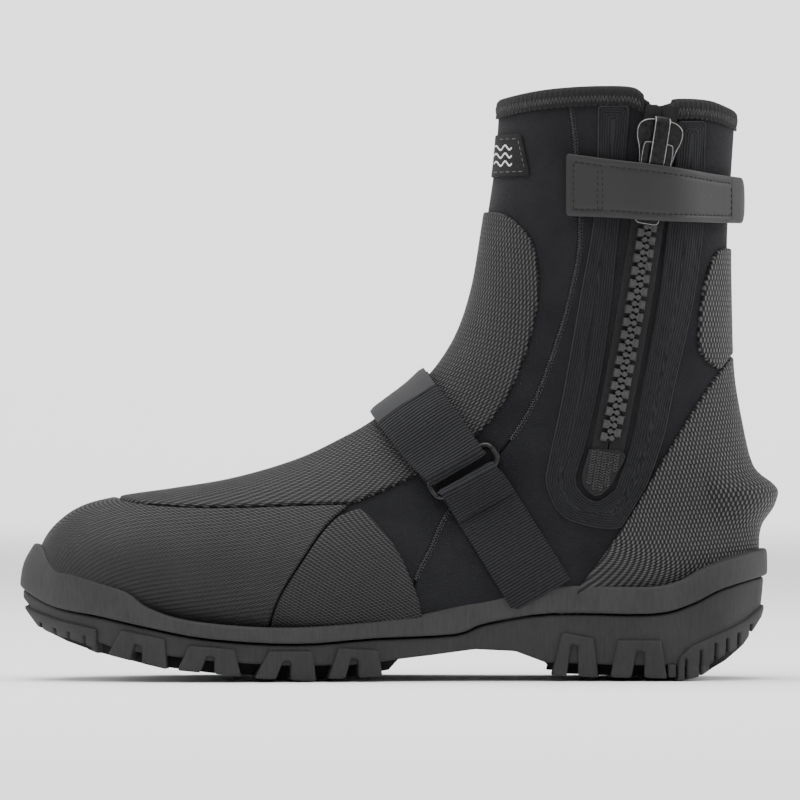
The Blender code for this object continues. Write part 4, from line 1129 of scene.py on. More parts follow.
def arc_tube(name, path, radius, surface, matrix, ring=10, closed=False):
    """A round wire along a path in millimetres, placed by a matrix."""
    path = np.array(path, float)
    if path.shape[1] == 2:
        path = np.column_stack([path, np.zeros(len(path))])
    if closed:
        run = unit(np.roll(path, -1, axis=0) - np.roll(path, 1, axis=0))
    else:
        run = unit(np.gradient(path, axis=0))
    side = unit(np.cross(run, (0, 0, 1.0)))
    top = np.cross(side, run)
    rings = placed_rings(path, side, top, radius, ring, matrix)
    if closed:
        rings = np.concatenate([rings, rings[:1]])
        faces = grid_faces(len(rings), ring)
        faces = faces % (len(path) * ring)
        points = rings[:-1].reshape(-1, 3)
        a, b, c = (points[faces[:, k]] - points.mean(0) for k in range(3))
        if np.einsum("ij,ij->i", a, np.cross(b, c)).sum() < 0:
            faces = faces[:, ::-1]
        return mesh_object(name, points, faces, surface, sharp=60)
    return tube_object(name, rings, surface)


def make_slider():
    middle, across, up, out = slide_frame()
    matrix = matrix_of(middle, across, up, out)
    body = mirrored(keyhole())
    plates = [(body, ((3.5, 0.3), (3.8, 0.0), (4.3, 0.0), (4.6, 0.3)))]
    for sign in (-1, 1):
        side = np.array([(8.1, 9.6), (8.1, 5.4), (7.2, 1.2), (6.0, 1.2), (6.6, 5.4),
                         (6.6, 9.6)]) * (sign, 1)
        plates.append((side, ((1.9, 0.1), (2.2, 0.0), (4.0, 0.0))))
    plate = plate_mesh(plates, [matrix], "slider_plate", LOOKS["metal"])
    mount(plate, "slider", ["zip_slider"])
    # Painted highlight: thin bright wires along the plate's rim, the crown's edges and the puller's rim.
    painted_highlight = LOOKS["painted_highlight_metal"]
    rim = arc_tube("slider_rim_highlight", shifted_closed(body, -0.3), 0.2, painted_highlight, matrix @ lifted(4.55), 8, True)
    mount(rim, "slider")
    bridge = [(-6.2, 4.2), (-6.6, 5.0), (-5.8, 6.2), (-3.0, 6.8), (4, 7.0), (10, 6.9), (12.6, 6.5)]
    path = smooth(bridge + [(14.0, 5.4), (14.2, 4.2)], 4)
    crown = ribbon_bridge("slider_crown", path, 3.0, 0.8, LOOKS["metal"], matrix)
    mount(crown, "slider")
    for name, side in (("front", -1), ("rear", 1)):
        edge = np.column_stack([np.full(len(path), side * 2.9), path[:, 0], path[:, 1] + 0.22])
        mount(edge_wire(f"slider_crown_{name}_edge", edge, 0.2, painted_highlight, matrix), "slider")

    hinge = matrix @ lifted(5.2, 3.2)
    wide, narrow, length = 6.4, 5.2, 32.0
    outer = smooth([(0, 0.9), (4.9, 0.8), (wide - 0.2, -0.8), (wide, -6), (wide - 0.3, -14), (narrow, -24),
                    (narrow - 0.2, 1.8 - length), (narrow - 1.6, 0.1 - length), (0, -length)], 4)
    window = smooth([(0, -0.55), (3.1, -0.65), (3.75, -1.6), (3.8, -6), (3.75, -9.4), (3.1, -10.4),
                     (0, -10.5)], 4)
    puller = frame_plate("puller_plate", mirrored(outer), mirrored(window), 1.1, LOOKS["metal"], hinge)
    mount(puller, "puller", ["zip_puller"])
    face = hinge @ lifted(0.5)
    rims = arc_tube("puller_rim_highlight", shifted_closed(mirrored(outer), -0.3), 0.18, painted_highlight, face, 8, True)
    mount(rims, "puller")
    dish = smooth([(0, -13.5), (3.2, -14.2), (3.6, -17), (3.4, -26), (2.8, -29), (0, -29.8)], 4)
    groove = arc_tube("puller_dish", mirrored(dish), 0.3, LOOKS["metal"], face, 8, True)
    mount(groove, "puller")


def edge_wire(name, path, radius, surface, matrix, ring=8):
    """A painted highlight along an edge: a thin bright wire through points in three dimensions, in
    millimetres.
    """
    run = unit(np.gradient(path, axis=0))
    side = np.broadcast_to((1.0, 0, 0), path.shape)
    rings = placed_rings(path, side, np.cross(side, run), radius, ring, matrix)
    return tube_object(name, rings, surface)


def lifted(z, y=0.0):
    matrix = np.eye(4)
    matrix[1, 3], matrix[2, 3] = y * MM, z * MM
    return matrix


def ribbon_bridge(name, path, half, thickness, surface, matrix):
    """A strip bent along a path of (up the chain, out) points, rounded across."""
    run = unit(np.gradient(path, axis=0))
    normal = np.stack([-run[:, 1], run[:, 0]], axis=1)
    angles = np.linspace(0, 2 * math.pi, 20, endpoint=False)
    across = np.sign(np.cos(angles)) * np.abs(np.cos(angles)) ** 0.5 * half
    through = np.sign(np.sin(angles)) * np.abs(np.sin(angles)) ** 0.7 * thickness / 2
    rings = []
    for (y, z), (ny, nz) in zip(path, normal):
        rings.append(np.stack([across, y + ny * through, z + nz * through], axis=1))
    return tube_object(name, placed_points(np.array(rings), matrix), surface, sharp=45)


def frame_plate(name, outer, inner, thickness, surface, matrix):
    """A plate with a window, from two closed outlines."""
    mesh = bpy.data.curves.new(name, "CURVE")
    mesh.dimensions = "2D"
    mesh.fill_mode = "BOTH"
    mesh.extrude = thickness / 2 * MM - 0.2 * MM
    mesh.bevel_depth = 0.2 * MM
    mesh.bevel_resolution = 2
    for outline in (outer, inner):
        spline = mesh.splines.new("POLY")
        spline.points.add(len(outline) - 1)
        for point, (x, y) in zip(spline.points, outline):
            point.co = (x * MM, y * MM, 0, 1)
        spline.use_cyclic_u = True
    source = bpy.data.objects.new(name, mesh)
    bpy.context.scene.collection.objects.link(source)
    bpy.context.view_layer.update()
    made_mesh = bpy.data.meshes.new_from_object(source.evaluated_get(bpy.context.evaluated_depsgraph_get()))
    bpy.data.objects.remove(source)
    made_mesh.transform(Matrix(matrix))
    made_mesh.name = name
    made_mesh.materials.clear()
    made_mesh.materials.append(surface)
    made_mesh.shade_smooth()
    made_mesh.set_sharp_from_angle(angle=math.radians(35))
    made = bpy.data.objects.new(name, made_mesh)
    bpy.context.scene.collection.objects.link(made)
    return made


# ---------------------------------------------------------------------------------------- the ankle strap


TAB_LIFTS = ((128, 3.0), (132, 4.6), (134, 5.4))


def make_ankle_strap():
    columns, rows = 300, 72
    grid = FORM.points.reshape(-1, AROUND, 3)
    angles = np.linspace(0.2, math.radians(176), 400)
    level = 0.195
    shaft_rows = grid[: 6 * ROWS_PER_STATION]
    path = []
    for angle in angles:
        exact = angle / (2 * math.pi) * AROUND
        j, share = int(exact), exact - int(exact)
        column = shaft_rows[:, j] * (1 - share) + shaft_rows[:, j + 1] * share
        order = np.argsort(column[:, 2])
        path.append([np.interp(level, column[order, 2], column[order, axis]) for axis in range(2)])
    path = np.array(path) / MM
    start = np.interp(67.3, path[:, 0], np.arange(400))
    end = np.interp(math.radians(172), angles, np.arange(400))
    line = path[int(start) : int(end) + 1]
    line = resampled(line, 0.2)
    run = unit(np.gradient(line, axis=0))
    normal = np.stack([run[:, 1], -run[:, 0]], axis=1)
    outward = normal if normal[len(normal) // 2][1] < 0 else -normal
    lifts = np.interp(line[:, 0], *np.array(STRAP_LIFTS[:-1] + TAB_LIFTS).T)
    lifts = np.convolve(np.pad(lifts, 30, mode="edge"), np.ones(61) / 61, mode="valid")
    middle = line + outward * (lifts[:, None] + 1.0)
    distance = np.concatenate([[0], np.cumsum(np.linalg.norm(np.diff(middle, axis=0), axis=1))])
    total = distance[-1]
    where = np.linspace(0, total, columns)
    centre = np.stack([np.interp(where, distance, middle[:, axis]) for axis in range(2)], axis=1)
    out = unit(np.stack([np.interp(where, distance, outward[:, axis]) for axis in range(2)], axis=1))
    x = np.interp(where, distance, line[:, 0])
    top, low = height(smooth(STRAP_BACK_TOP, 6), x), height(smooth(STRAP_BACK_LOW, 6), x)
    inset = corner_inset(total - where, 4.2) + corner_inset(where, 1.2)
    top, low = top - inset, low + inset
    last = tab_start(centre, where)
    loop_angles = np.linspace(0, 2 * math.pi, rows, endpoint=False)
    across = -np.cos(loop_angles)
    through = np.sin(loop_angles)
    up = np.sign(across) * np.abs(across) ** 0.55
    depth = np.sign(through) * np.abs(through) ** 0.32
    rings, grains = [], []
    for k in range(columns):
        half, mid = (top[k] - low[k]) / 2, (top[k] + low[k]) / 2
        z = mid + up * half
        edge_in = np.minimum(half - np.abs(up * half), where[k] + 0.4)
        sunk = groove_depth(edge_in, where[k], last) * (depth > 0)
        lift = depth * 1.0 - sunk
        rings.append(np.stack([centre[k, 0] + out[k, 0] * lift, centre[k, 1] + out[k, 1] * lift, z],
                              axis=1))
        grains.append(np.stack([np.full(rows, where[k]), np.zeros(rows), z], axis=1))
    strap = tube_object("ankle_strap_band", np.array(rings) * MM, LOOKS["strap"], np.array(grains) * MM)
    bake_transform(strap)
    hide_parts("ankle_strap", "ankle_strap_base")
    strap_stitches(centre, out, where, top, low)


def corner_inset(to_end, radius):
    """How far a rounded corner draws an edge in, at a distance from the strap's end."""
    near = np.clip(radius - to_end, 0, radius)
    return radius - np.sqrt(radius**2 - near**2)


STITCH_INSET = 2.9
TAB_X = 132.0


def tab_start(centre, where):
    """How far along the strap its stitching ends and the plain tab begins."""
    return np.interp(TAB_X, centre[:, 0], where)


def groove_depth(edge_in, where, last):
    """A shallow seam groove along the strap's stitching line, with the panel inside it pressed lower."""
    if where > last + 1.5:
        return np.zeros(len(edge_in))
    line = np.exp(-(((edge_in - STITCH_INSET) / 0.6) ** 2)) * (where < last)
    cross = math.exp(-(((where - last) / 0.5) ** 2)) * (edge_in > 1.0)
    inner = np.clip((edge_in - STITCH_INSET) / 0.8, 0, 1) * (where < last)
    return 0.3 * np.maximum(line, cross) + 0.1 * inner


def strap_stitches(centre, out, where, top, low):
    def place(distance, z, lift):
        x, y = (np.interp(distance, where, centre[:, axis]) for axis in range(2))
        nx, ny = (np.interp(distance, where, out[:, axis]) for axis in range(2))
        return np.array([x + nx * lift, y + ny * lift, z]) * MM, np.array([nx, ny, 0.0])

    hinge_distance = np.interp(STRAP_HINGE_X + 0.6, centre[:, 0], where)
    last = tab_start(centre, where)
    fixed, moving = [], []
    length, gap = 1.5, 0.9
    for edge, sign in ((top, -1), (low, 1)):
        for start in np.arange(3.2, last - length, length + gap):
            ends = [(d, np.interp(d, where, edge) + sign * STITCH_INSET) for d in (start, start + length)]
            if start + length < hinge_distance - 0.4:
                fixed.append(ends)
            elif start > hinge_distance + 0.4:
                moving.append(ends)
    rows = ((last, moving), (2.9, fixed), (hinge_distance - 4.2, fixed), (hinge_distance - 2.2, fixed))
    for distance, group in rows:
        bottom, ceiling = (np.interp(distance, where, edge) for edge in (low, top))
        for z in np.arange(bottom + STITCH_INSET, ceiling - STITCH_INSET - length, length + gap):
            group.append([(distance, z), (distance, z + length)])
    seams = (("ankle_strap_stitches", "ankle_strap", moving),
             ("ankle_strap_anchor_stitches", "boot", fixed))
    for name, body, group in seams:
        placed = [(place(*first, 0.86), place(*second, 0.86)) for first, second in group]
        starts, ends, ups = [a[0] for a, _ in placed], [b[0] for _, b in placed], [a[1] for a, _ in placed]
        mount(capsules(name, starts, ends, ups, 0.42 * MM, 0.36 * MM, LOOKS["black_thread"]), body)


# ---------------------------------------------------------------------------------------- the instep strap

WRAP_ANGLES = np.radians(np.arange(-82, 262, 0.5))
WRAP_CENTRE_DROP = 8.0
RUN_LEAN = 4.7
RING_LIFT = 4.3
HALF_BAR = 4.7
WEBBING = 1.5


def wrapped_strip(columns=15):
    """The form's surface along the instep strap: points and normals for each column across the strap, with
    the distance along it from the ring's middle."""
    along = np.array([math.cos(RING_ANGLE), 0, math.sin(RING_ANGLE)])
    up = np.array([-math.sin(RING_ANGLE), 0, math.cos(RING_ANGLE)])
    middle = np.array([RING_MIDDLE[0], -3.0, RING_MIDDLE[1]]) * MM - up * WRAP_CENTRE_DROP * MM
    strips = []
    for offset in np.linspace(-STRAP_WIDTH / 2, STRAP_WIDTH / 2, columns):
        source = middle + along * offset * MM
        points, normals = [], []
        for angle in WRAP_ANGLES:
            direction = -Y_AXIS * math.cos(angle) + up * math.sin(angle)
            over = max(math.sin(angle), 0.0)
            leaned = source + along * (0.1 * offset - RUN_LEAN) * over * MM
            hit, normal, _, _ = WALL.ray_cast(Vector(leaned), Vector(direction))
            points.append(np.array(hit))
            normals.append(np.array(normal) if normal.dot(Vector(direction)) > 0 else -np.array(normal))
        points, normals = np.array(points), np.array(normals)
        normals = unit(np.stack([np.convolve(np.pad(normals[:, axis], 4, mode="edge"), np.ones(9) / 9,
                                             mode="valid")
                                 for axis in range(3)], axis=1))
        distance = np.concatenate([[0], np.cumsum(np.linalg.norm(np.diff(points, axis=0), axis=1))])
        rise = (points - middle) @ up - WRAP_CENTRE_DROP * MM
        zero = np.interp(0, rise[: len(rise) // 3], distance[: len(rise) // 3])
        strips.append((distance - zero, points, normals))
    return strips


def strap_piece(name, path, surface, body, nodes, strips, thickness=WEBBING, rib=0.16):
    """A ribbed strap along a path of (distance, lift) points in millimetres, on the wrapped strip."""
    path = resampled(smooth(path, 8), 0.2)
    run = unit(np.gradient(path, axis=0))
    turn = np.stack([-run[:, 1], run[:, 0]], axis=1)
    length = np.concatenate([[0], np.cumsum(np.linalg.norm(np.diff(path, axis=0), axis=1))])
    ribs = rib * (np.abs(np.sin(length * math.pi / RIB_PITCH)) ** 0.6 - 1)
    across = np.linspace(-1, 1, len(strips))
    edge_thin = np.sqrt(np.clip(1 - np.abs(across) ** 14, 0.12, 1))
    half = turn[:, None] * ((thickness / 2 + ribs[:, None]) * edge_thin)[..., None]
    top, low = path[:, None] + half, path[:, None] - half
    rings = []
    for layer in (top, low[:, ::-1]):
        order = strips if layer is top else strips[::-1]
        for k, (distance, points, normals) in enumerate(order):
            where = layer[:, k, 0] * MM
            base = np.stack([np.interp(where, distance, points[:, axis]) for axis in range(3)], axis=1)
            out = unit(np.stack([np.interp(where, distance, normals[:, axis]) for axis in range(3)],
                                axis=1))
            rings.append(base + out * layer[:, k, 1:] * MM)
    rings = np.array(rings).transpose(1, 0, 2)
    grain = np.zeros((*rings.shape[:2], 3))
    grain[..., 0] = np.concatenate([across, across[::-1]]) * STRAP_WIDTH / 2 * MM
    grain[..., 2] = length[:, None] * MM
    piece = tube_object(name, rings, surface, grain, sharp=70)
    return mount(piece, body, nodes)


def bar_loop(centre, start, end, radius=2.4, steps=7):
    """Points of (distance, lift) round a bar, from one angle to another in degrees: 90 is outwards."""
    turns = np.radians(np.linspace(start, end, steps))
    return [(centre + radius * math.cos(a), RING_LIFT + radius * math.sin(a)) for a in turns]


def make_instep_strap():
    strips = wrapped_strip()
    web = LOOKS["webbing"]
    lower = [(-58, 1.1), (-40, 1.1), (-24, 1.1), (-12, 1.2)]
    lower += bar_loop(-HALF_BAR, -100, 100)
    lower += [(-9.5, 4.0), (-13, 2.9), (-16.4, 2.7)]
    strap_piece("lower_strap_webbing", lower, web, "boot", ["lower_webbing"], strips=strips)
    tail = [(9.0, 2.4)] + bar_loop(HALF_BAR, 290, 75, steps=9)
    tail += [(11.0, 5.4), (16, 4.75), (24, 4.7), (37.2, 4.7)]
    strap_piece("strap_tail_webbing", tail, web, "tail", ["strap_tail"], strips=strips)
    over = strips[len(strips) // 2][0][-1] / MM
    run = [(10.2, 2.3), (13, 2.7), (30, 2.85), (60, 2.85), (90, 2.85), (min(over - 6, 132), 2.85)]
    strap_piece("instep_strap_webbing", run, web, "boot", ["instep_strap"], strips=strips)
    tab = [(37.0, 4.9), (44, 4.95), (50, 5.0), (56, 4.9)]
    strap_piece("grip_tab_cloth", tab, LOOKS["grip"], "tail", ["grip_tab"], strips=strips,
                thickness=2.0, rib=0.02)
    strap_ring()


def strap_ring():
    axis = np.array(JOINTS["ring_tilt"]["axis"])
    low = np.array(JOINTS["ring_tilt"]["pos_m"])
    high = np.array(JOINTS["strap_tail_peel"]["pos_m"])
    up = unit(high - low)
    matrix = matrix_of((low + high) / 2, axis, up, unit(np.cross(axis, up)))
    half_x, half_y, radius = 14.7, HALF_BAR, 3.6
    corners = []
    for cx, cy, start in ((half_x - radius, half_y - radius, 0), (radius - half_x, half_y - radius, 90),
                          (radius - half_x, radius - half_y, 180), (half_x - radius, radius - half_y, 270)):
        for a in np.radians(start + np.arange(0, 91, 10)):
            corners.append((cx + radius * math.cos(a), cy + radius * math.sin(a)))
    wire = resampled(corners + corners[:1], 0.7)[:-1]
    ring = arc_tube("strap_ring_wire", wire, 1.3, LOOKS["ring"], matrix, 14, True)
    mount(ring, "ring", ["strap_ring"])


# -------------------------------------------------------------------------------------------- the sole

WALL_LEVELS = 92
WALL_TOP = 62.0
WALL_LOW = -3.0
PLAN_STEPS = 26


def sole_skin():
    """The sole's wall as a skin: the plan outline at each level, drawn in at the toe and the heel."""
    plan = closed_smooth(SOLE_PLAN, PLAN_STEPS)[::-1]
    if np.sum(plan[:, 0] * np.roll(plan[:, 1], -1) - np.roll(plan[:, 0], -1) * plan[:, 1]) < 0:
        plan = plan[::-1]
    levels = np.linspace(WALL_TOP, WALL_LOW, WALL_LEVELS)
    toe = smooth(sorted(list(TOE_FACE) + [(-132.4, 15.2), (-121.2, 11.4), (-112, 8), (-144.0, 62)],
                        key=lambda p: p[1]), 4)
    heel = smooth(sorted([(111, -2), *HEEL_UNDER[:-1], *HEEL_FACE, (145.4, 62)], key=lambda p: p[1]), 4)
    toe_x = np.interp(levels, toe[:, 1], toe[:, 0])
    heel_x = np.interp(levels, heel[:, 1], heel[:, 0])
    toe_w = np.clip((-100 - plan[:, 0]) / 52, 0, 1)[None] ** 1.3
    heel_w = np.clip((plan[:, 0] - 100) / 47.6, 0, 1)[None] ** 1.3
    x = plan[:, 0][None] + (np.clip(toe_x, None, -128)[:, None] + 152) * toe_w
    x = x + (np.clip(heel_x, 128, None)[:, None] - 147.6) * heel_w
    y = np.broadcast_to(plan[:, 1][None], x.shape)
    z = np.broadcast_to(levels[:, None], x.shape)
    grid = np.stack([x, y, z], axis=2) * MM
    round_it = np.concatenate([[0], np.cumsum(np.linalg.norm(np.diff(plan, axis=0), axis=1))]) * MM
    grain = np.stack(np.broadcast_arrays(round_it[None], round_it[None], -z * MM), axis=2)
    return Skin(grid.reshape(-1, 3), grid_normals(grid).reshape(-1, 3), grain.reshape(-1, 3),
                grid_faces(len(levels), len(plan)))


def wall_thickness(skin, least, most):
    """How far the sole's wall reaches inwards before it meets the upper, at each point."""
    reach = []
    for point, normal in zip(skin.points, skin.normals):
        hit, _, _, far = WALL.ray_cast(Vector(point), Vector(-normal))
        reach.append(most if hit is None else np.clip(far - 0.6 * MM, least, most))
    return np.array(reach)


# Each tread block: its lower front, lower back, upper back and upper front corners, then its notch's two
# sides and top.
TREADS = (
    ((-116.4, 10.8), (-92.4, 5.2), (-93.2, 17.2), (-110.8, 20.8), (-107.2, -102.4, 15.2)),
    ((-88.4, 4.8), (-62.8, 2.4), (-65.6, 13.2), (-83.6, 14.8), (-79.2, -73.6, 10.8)),
    ((-57.6, 1.6), (-33.2, 0.4), (-34.4, 12.4), (-52.0, 12.4), (-49.2, -43.2, 8.8)),
    ((-28.4, 1.2), (-6.8, 2.0), (-8.4, 12.6), (-24.4, 13.6), (-21.6, -16.4, 9.6)),
    ((60.4, 2.4), (78.8, 1.6), (77.2, 17.2), (64.4, 19.6), (66.4, 70.8, 14.8)),
    ((83.6, 1.6), (106.4, 1.2), (104, 16.4), (86.4, 16.4), (92.0, 97.2, 12.4)),
    ((106.8, 1.6), (110, 1.6), (110, 6.8), (106.8, 6.8), None),
)
TOE_CLEATS = ((-156, 31), (-152, 29.6), (-144.8, 26.8), (-136, 24), (-120.8, 20.8))
TOE_SLOTS = (-143.6, -137.6, -132, -125.6)
HEEL_CLEATS = (
    (110.8, 6.8), (111.6, 9.6), (116.4, 14), (126, 18), (132.4, 20.4), (138.8, 23.6), (146.4, 29.6),
    (156, 34),
)
HEEL_SLOTS = (114, 120, 126, 130.8, 135.6, 140.8)
RECESS = 1.5 * MM


def sole_side(lift=0.0):
    """The sole's underside seen from the side, from the toe to the heel, closed over the top."""
    line = [(-158, 36), (-151.5, 30), *TOE_UNDER, (-100, 6.2), (-75, 3.0), (-45, 1.2), (-20, 1.2),
            (-4.5, 4.0), *ARCH,
            (62, 2.4), (84, 1.6), *HEEL_UNDER, (158, 30)]
    return np.vstack([[(x, z + lift) for x, z in line], [(158, 80), (-158, 80)]])


def wall_side():
    """The lower edge of the recessed wall behind the tread blocks."""
    line = [(-158, 38), (-151.5, 31), (-144.8, 22.3), (-132.4, 17), (-121.2, 14), (-100, 11.5),
            (-75, 8.4), (-45, 6.6),
            (-20, 6.6), (-6, 8.0), *ARCH[:-1], (58, 7.5), (84, 6.6), (108, 6.2), (120, 5), (130, 9.4),
            (138, 15.4), (145, 26),
            (158, 32)]
    return np.vstack([line, [(158, 80), (-158, 80)]])


def tread_outline(low_front, low_back, high_back, high_front, notch):
    if notch is None:
        return [low_front, low_back, high_back, high_front]
    front, back, top = notch
    slope = (low_back[1] - low_front[1]) / (low_back[0] - low_front[0])
    front_z, back_z = (low_front[1] + slope * (x - low_front[0]) for x in (front, back))
    return [low_front, (front, front_z), (back - 2.8, top), (back, top - 0.6), (back, back_z), low_back,
            high_back, high_front]


def comb(top, slots, depth, half=0.5):
    """A row of cleats below a line, parted by slots from below."""
    line = [(top[-1][0], -6)]
    for x in sorted(slots, reverse=True):
        level = height(top, x) - depth
        line += [(x + half, -6), (x + half, level), (x - half, level), (x - half, -6)]
    return list(top) + line + [(top[0][0], -6)]


def tread_piece(name, *outlines):
    skin, depth = cut_region(SOLE, *outlines, edge=0.8 * MM)
    lift = -0.8 * MM * (1 - np.sqrt(1 - (1 - np.clip(depth / 0.8e-3, 0, 1)) ** 2))
    return shell(name, skin, np.full(len(skin.points), -11 * MM), lift, LOOKS["outsole"])


def make_sole():
    rand_region = [everything_above(GROOVE, 0.35), everything_below(RAND_TOP)]
    skin, depth = cut_region(SOLE, *rand_region, edge=1.4 * MM)
    thick = wall_thickness(skin, 2.5 * MM, 13 * MM)
    lift = np.where(depth < 1.4 * MM, -1.4 * MM * (1 - np.sqrt(1 - (1 - np.clip(depth / 1.4e-3, 0,
                                                                                1)) ** 2)), 0)
    rand = shell("rand_rubber", skin, -thick, lift * 0.8, LOOKS["rand"])
    mount(rand, nodes=["rand"])

    below = everything_below(GROOVE, -0.35)
    skin, depth = cut_region(SOLE, below, wall_side(), edge=1.1 * MM)
    lift = -RECESS - 1.1 * MM * (1 - np.sqrt(1 - (1 - np.clip(depth / 1.1e-3, 0, 1)) ** 2))
    wall = shell("outsole_wall", skin, np.full(len(skin.points), -11 * MM), lift, LOOKS["outsole"])
    mount(wall, nodes=["outsole"])
    for number, corners in enumerate(TREADS):
        mount(tread_piece(f"tread_block_{number}", below, tread_outline(*corners)))
    under = sole_side()
    mount(tread_piece("toe_cleats", below, under, comb(TOE_CLEATS, TOE_SLOTS, 3.5)))
    mount(tread_piece("heel_cleats", below, under, comb(HEEL_CLEATS, HEEL_SLOTS, 3.0)))
    mount(outsole_core())


def outsole_core():
    """The outsole behind its blocks: the treads that run across the foot, inside the wall, in a rubber
    painted darker than the outsole's as painted shade between the blocks.
    """
    plan = shifted_closed(closed_smooth(SOLE_PLAN, 8), -9.0)
    block = plate_mesh([(plan, ((0.0, 0.0), (60.0, 0.0)))], [np.eye(4)], "outsole_treads", LOOKS["tread"])
    cutter = side_prism("tread_cutter", sole_side(0.6))
    above = side_prism("tread_top", everything_below(GROOVE, -1.0))
    for tool in (cutter, above):
        cut_by(block, tool, "INTERSECT")
    return block


def side_prism(name, outline):
    """A cutter: an outline in the X-Z plane run along Y."""
    outline = np.array(outline, float)
    keep = np.linalg.norm(outline - np.roll(outline, -1, axis=0), axis=1) > 1e-3
    outline = outline[keep]
    turn = np.array([[1, 0, 0, 0], [0, 0, 1, 0], [0, 1, 0, 0], [0, 0, 0, 1.0]])
    made = plate_mesh([(outline, ((-90.0, 0.0), (90.0, 0.0)))], [turn], name, LOOKS["outsole"])
    made.data.flip_normals()
    return made


def cut_by(piece, tool, operation):
    boolean = piece.modifiers.new(tool.name, "BOOLEAN")
    boolean.operation, boolean.solver, boolean.object = operation, "EXACT", tool
    bpy.context.view_layer.update()
    result = bpy.data.meshes.new_from_object(piece.evaluated_get(bpy.context.evaluated_depsgraph_get()))
    piece.modifiers.clear()
    piece.data = result
    bpy.data.objects.remove(tool)


# --------------------------------------------------------------------------------------------- stitching


def make_stitches():
    seam = resampled(smooth(FRONT_SEAM, 6), 0.5)
    seam = seam[(seam[:, 1] < 229) & (seam[:, 1] > 40)]
    parts = (("front_seam_stitches", seam[seam[:, 1] > 96], -1),
             ("instep_seam_stitches", seam[seam[:, 1] < 70], -1),
             ("lateral_seam_stitches", seam, 1))
    for name, line, side in parts:
        threads = zigzag(line, 0.75, 1.1) + dashes(shifted(line, 1.1), 0.9, 0.5)
        mount(wall_threads(name, threads, 0.12 * MM, LOOKS["thread"], side=side, width=0.36, rise=0.3),
              "boot")


def collar_stitches(ring):
    """The binding's zigzag and the row of stitches along its lower edge, on its outer face."""
    step = np.linalg.norm(np.diff(ring[:, 9], axis=0), axis=1)
    around = np.concatenate([[0], np.cumsum(step)])
    high, low, under = ring[:, 8], ring[:, 9], ring[:, 11]
    out = unit(np.cross(np.gradient(ring[:, 9], axis=0), high - low))
    if np.einsum("ij,ij->i", out, ring[:, 9] - ring[:, 9].mean(0)).sum() < 0:
        out = -out
    starts, ends, ups = [], [], []

    def at(line, distance):
        return np.array([np.interp(distance, around, line[:, axis]) for axis in range(3)])

    pitch = 0.75 * MM
    for k, distance in enumerate(np.arange(1 * MM, around[-1] - 2 * MM, pitch)):
        first, second = (high, low) if k % 2 else (low, high)
        up = at(out, distance)
        starts.append(at(first, distance) + up * 0.02 * MM)
        ends.append(at(second, distance + pitch) + up * 0.02 * MM)
        ups.append(up)
    mount(capsules("collar_zigzag", starts, ends, ups, 0.42 * MM, 0.3 * MM, LOOKS["thread"]), "boot")
    starts, ends, ups = [], [], []
    for distance in np.arange(1 * MM, around[-1] - 3 * MM, 2.6 * MM):
        up = at(out, distance)
        starts.append(at(under, distance) + up * 0.15 * MM)
        ends.append(at(under, distance + 1.7 * MM) + up * 0.15 * MM)
        ups.append(up)
    mount(capsules("collar_edge_stitches", starts, ends, ups, 0.6 * MM, 0.5 * MM,
                   LOOKS["black_thread"]), "boot")


# --------------------------------------------------------------------------------------------- the stage


LOOP_OUTLINE = ((122.4, 198.6), (131.6, 198.6), (131.6, 185.2), (122.4, 185.2))


def make_linings():
    """The cloth behind the zip and the pile that the ankle strap closes on."""
    gusset = panel("gusset_cloth", [chain_band(-15.5, 15.5, -0.05, 0.99)], -6.6 * MM, -5.0 * MM, 0.5 * MM,
                   LOOKS["lining"], -1)
    mount(gusset, nodes=["zip_gusset"])
    pile = panel("loop_pile", [LOOP_OUTLINE], 0.1 * MM, 1.25 * MM, 0.5 * MM, LOOKS["pile"], -1)
    mount(pile, nodes=["loop_patch"])


def make_insole():
    """The cushion underfoot: it fills the insole's place, with a rounded rim that stands a little higher."""
    node = frame["nodes"]["insole"]
    corners = np.array([node.matrix_world @ vertex.co for vertex in node.data.vertices])
    solid = BVHTree.FromPolygons(corners.tolist(), [tuple(polygon.vertices)
                                                    for polygon in node.data.polygons])
    across = np.linspace(-1, 1, 41)
    rings, grain = [], []
    for x in np.linspace(corners[:, 0].min() + 2.5 * MM, corners[:, 0].max() - 2.5 * MM, 90):
        top = solid.ray_cast(Vector((x, 0, 0.2)), Vector((0, 0, -1)))[0]
        low = solid.ray_cast(Vector((x, 0, -0.1)), Vector((0, 0, 1)))[0]
        if top is None or low is None:
            continue
        level = (top.z + low.z) / 2
        sides = [solid.ray_cast(Vector((x, 0.1 * sign, level)), Vector((0, -sign, 0)))[0]
                 for sign in (-1, 1)]
        if None in sides:
            continue
        middle, half = (sides[0].y + sides[1].y) / 2, (sides[1].y - sides[0].y) / 2 - 1.0 * MM
        rim = 1.0 * MM * np.abs(across) ** 5 - 2.2 * MM * np.clip((np.abs(across) - 0.93) / 0.07, 0, 1) ** 2
        upper = np.stack([np.full(41, x), middle + half * across, top.z - 1.0 * MM + rim], axis=1)
        lower = np.stack([np.full(41, x), middle + half * across[::-1], np.full(41, low.z + 0.3 * MM)],
                         axis=1)
        rings.append(np.vstack([upper, lower]))
        grain.append(np.stack([np.tile(half * across, 2), np.tile(half * across, 2), np.full(82, x)],
                              axis=1))
    pad = tube_object("insole_cushion", np.array(rings), LOOKS["lining"], np.array(grain))
    mount(pad, nodes=["insole"])


def carried_over():
    """The CAD nodes that stay, with a finished material each."""
    for node, look in (("midsole", "foam"), ("hook_patch", "hooks")):
        mesh = frame["nodes"][node].data
        mesh.materials.clear()
        mesh.materials.append(LOOKS[look])


CAMERA_DISTANCE = 3.6
NEAR_SIDE = 0.02
VIEW_WIDTH = 0.32
SENSOR = 36.0
PHOTO_MIDDLE = (0.0, 0.112)


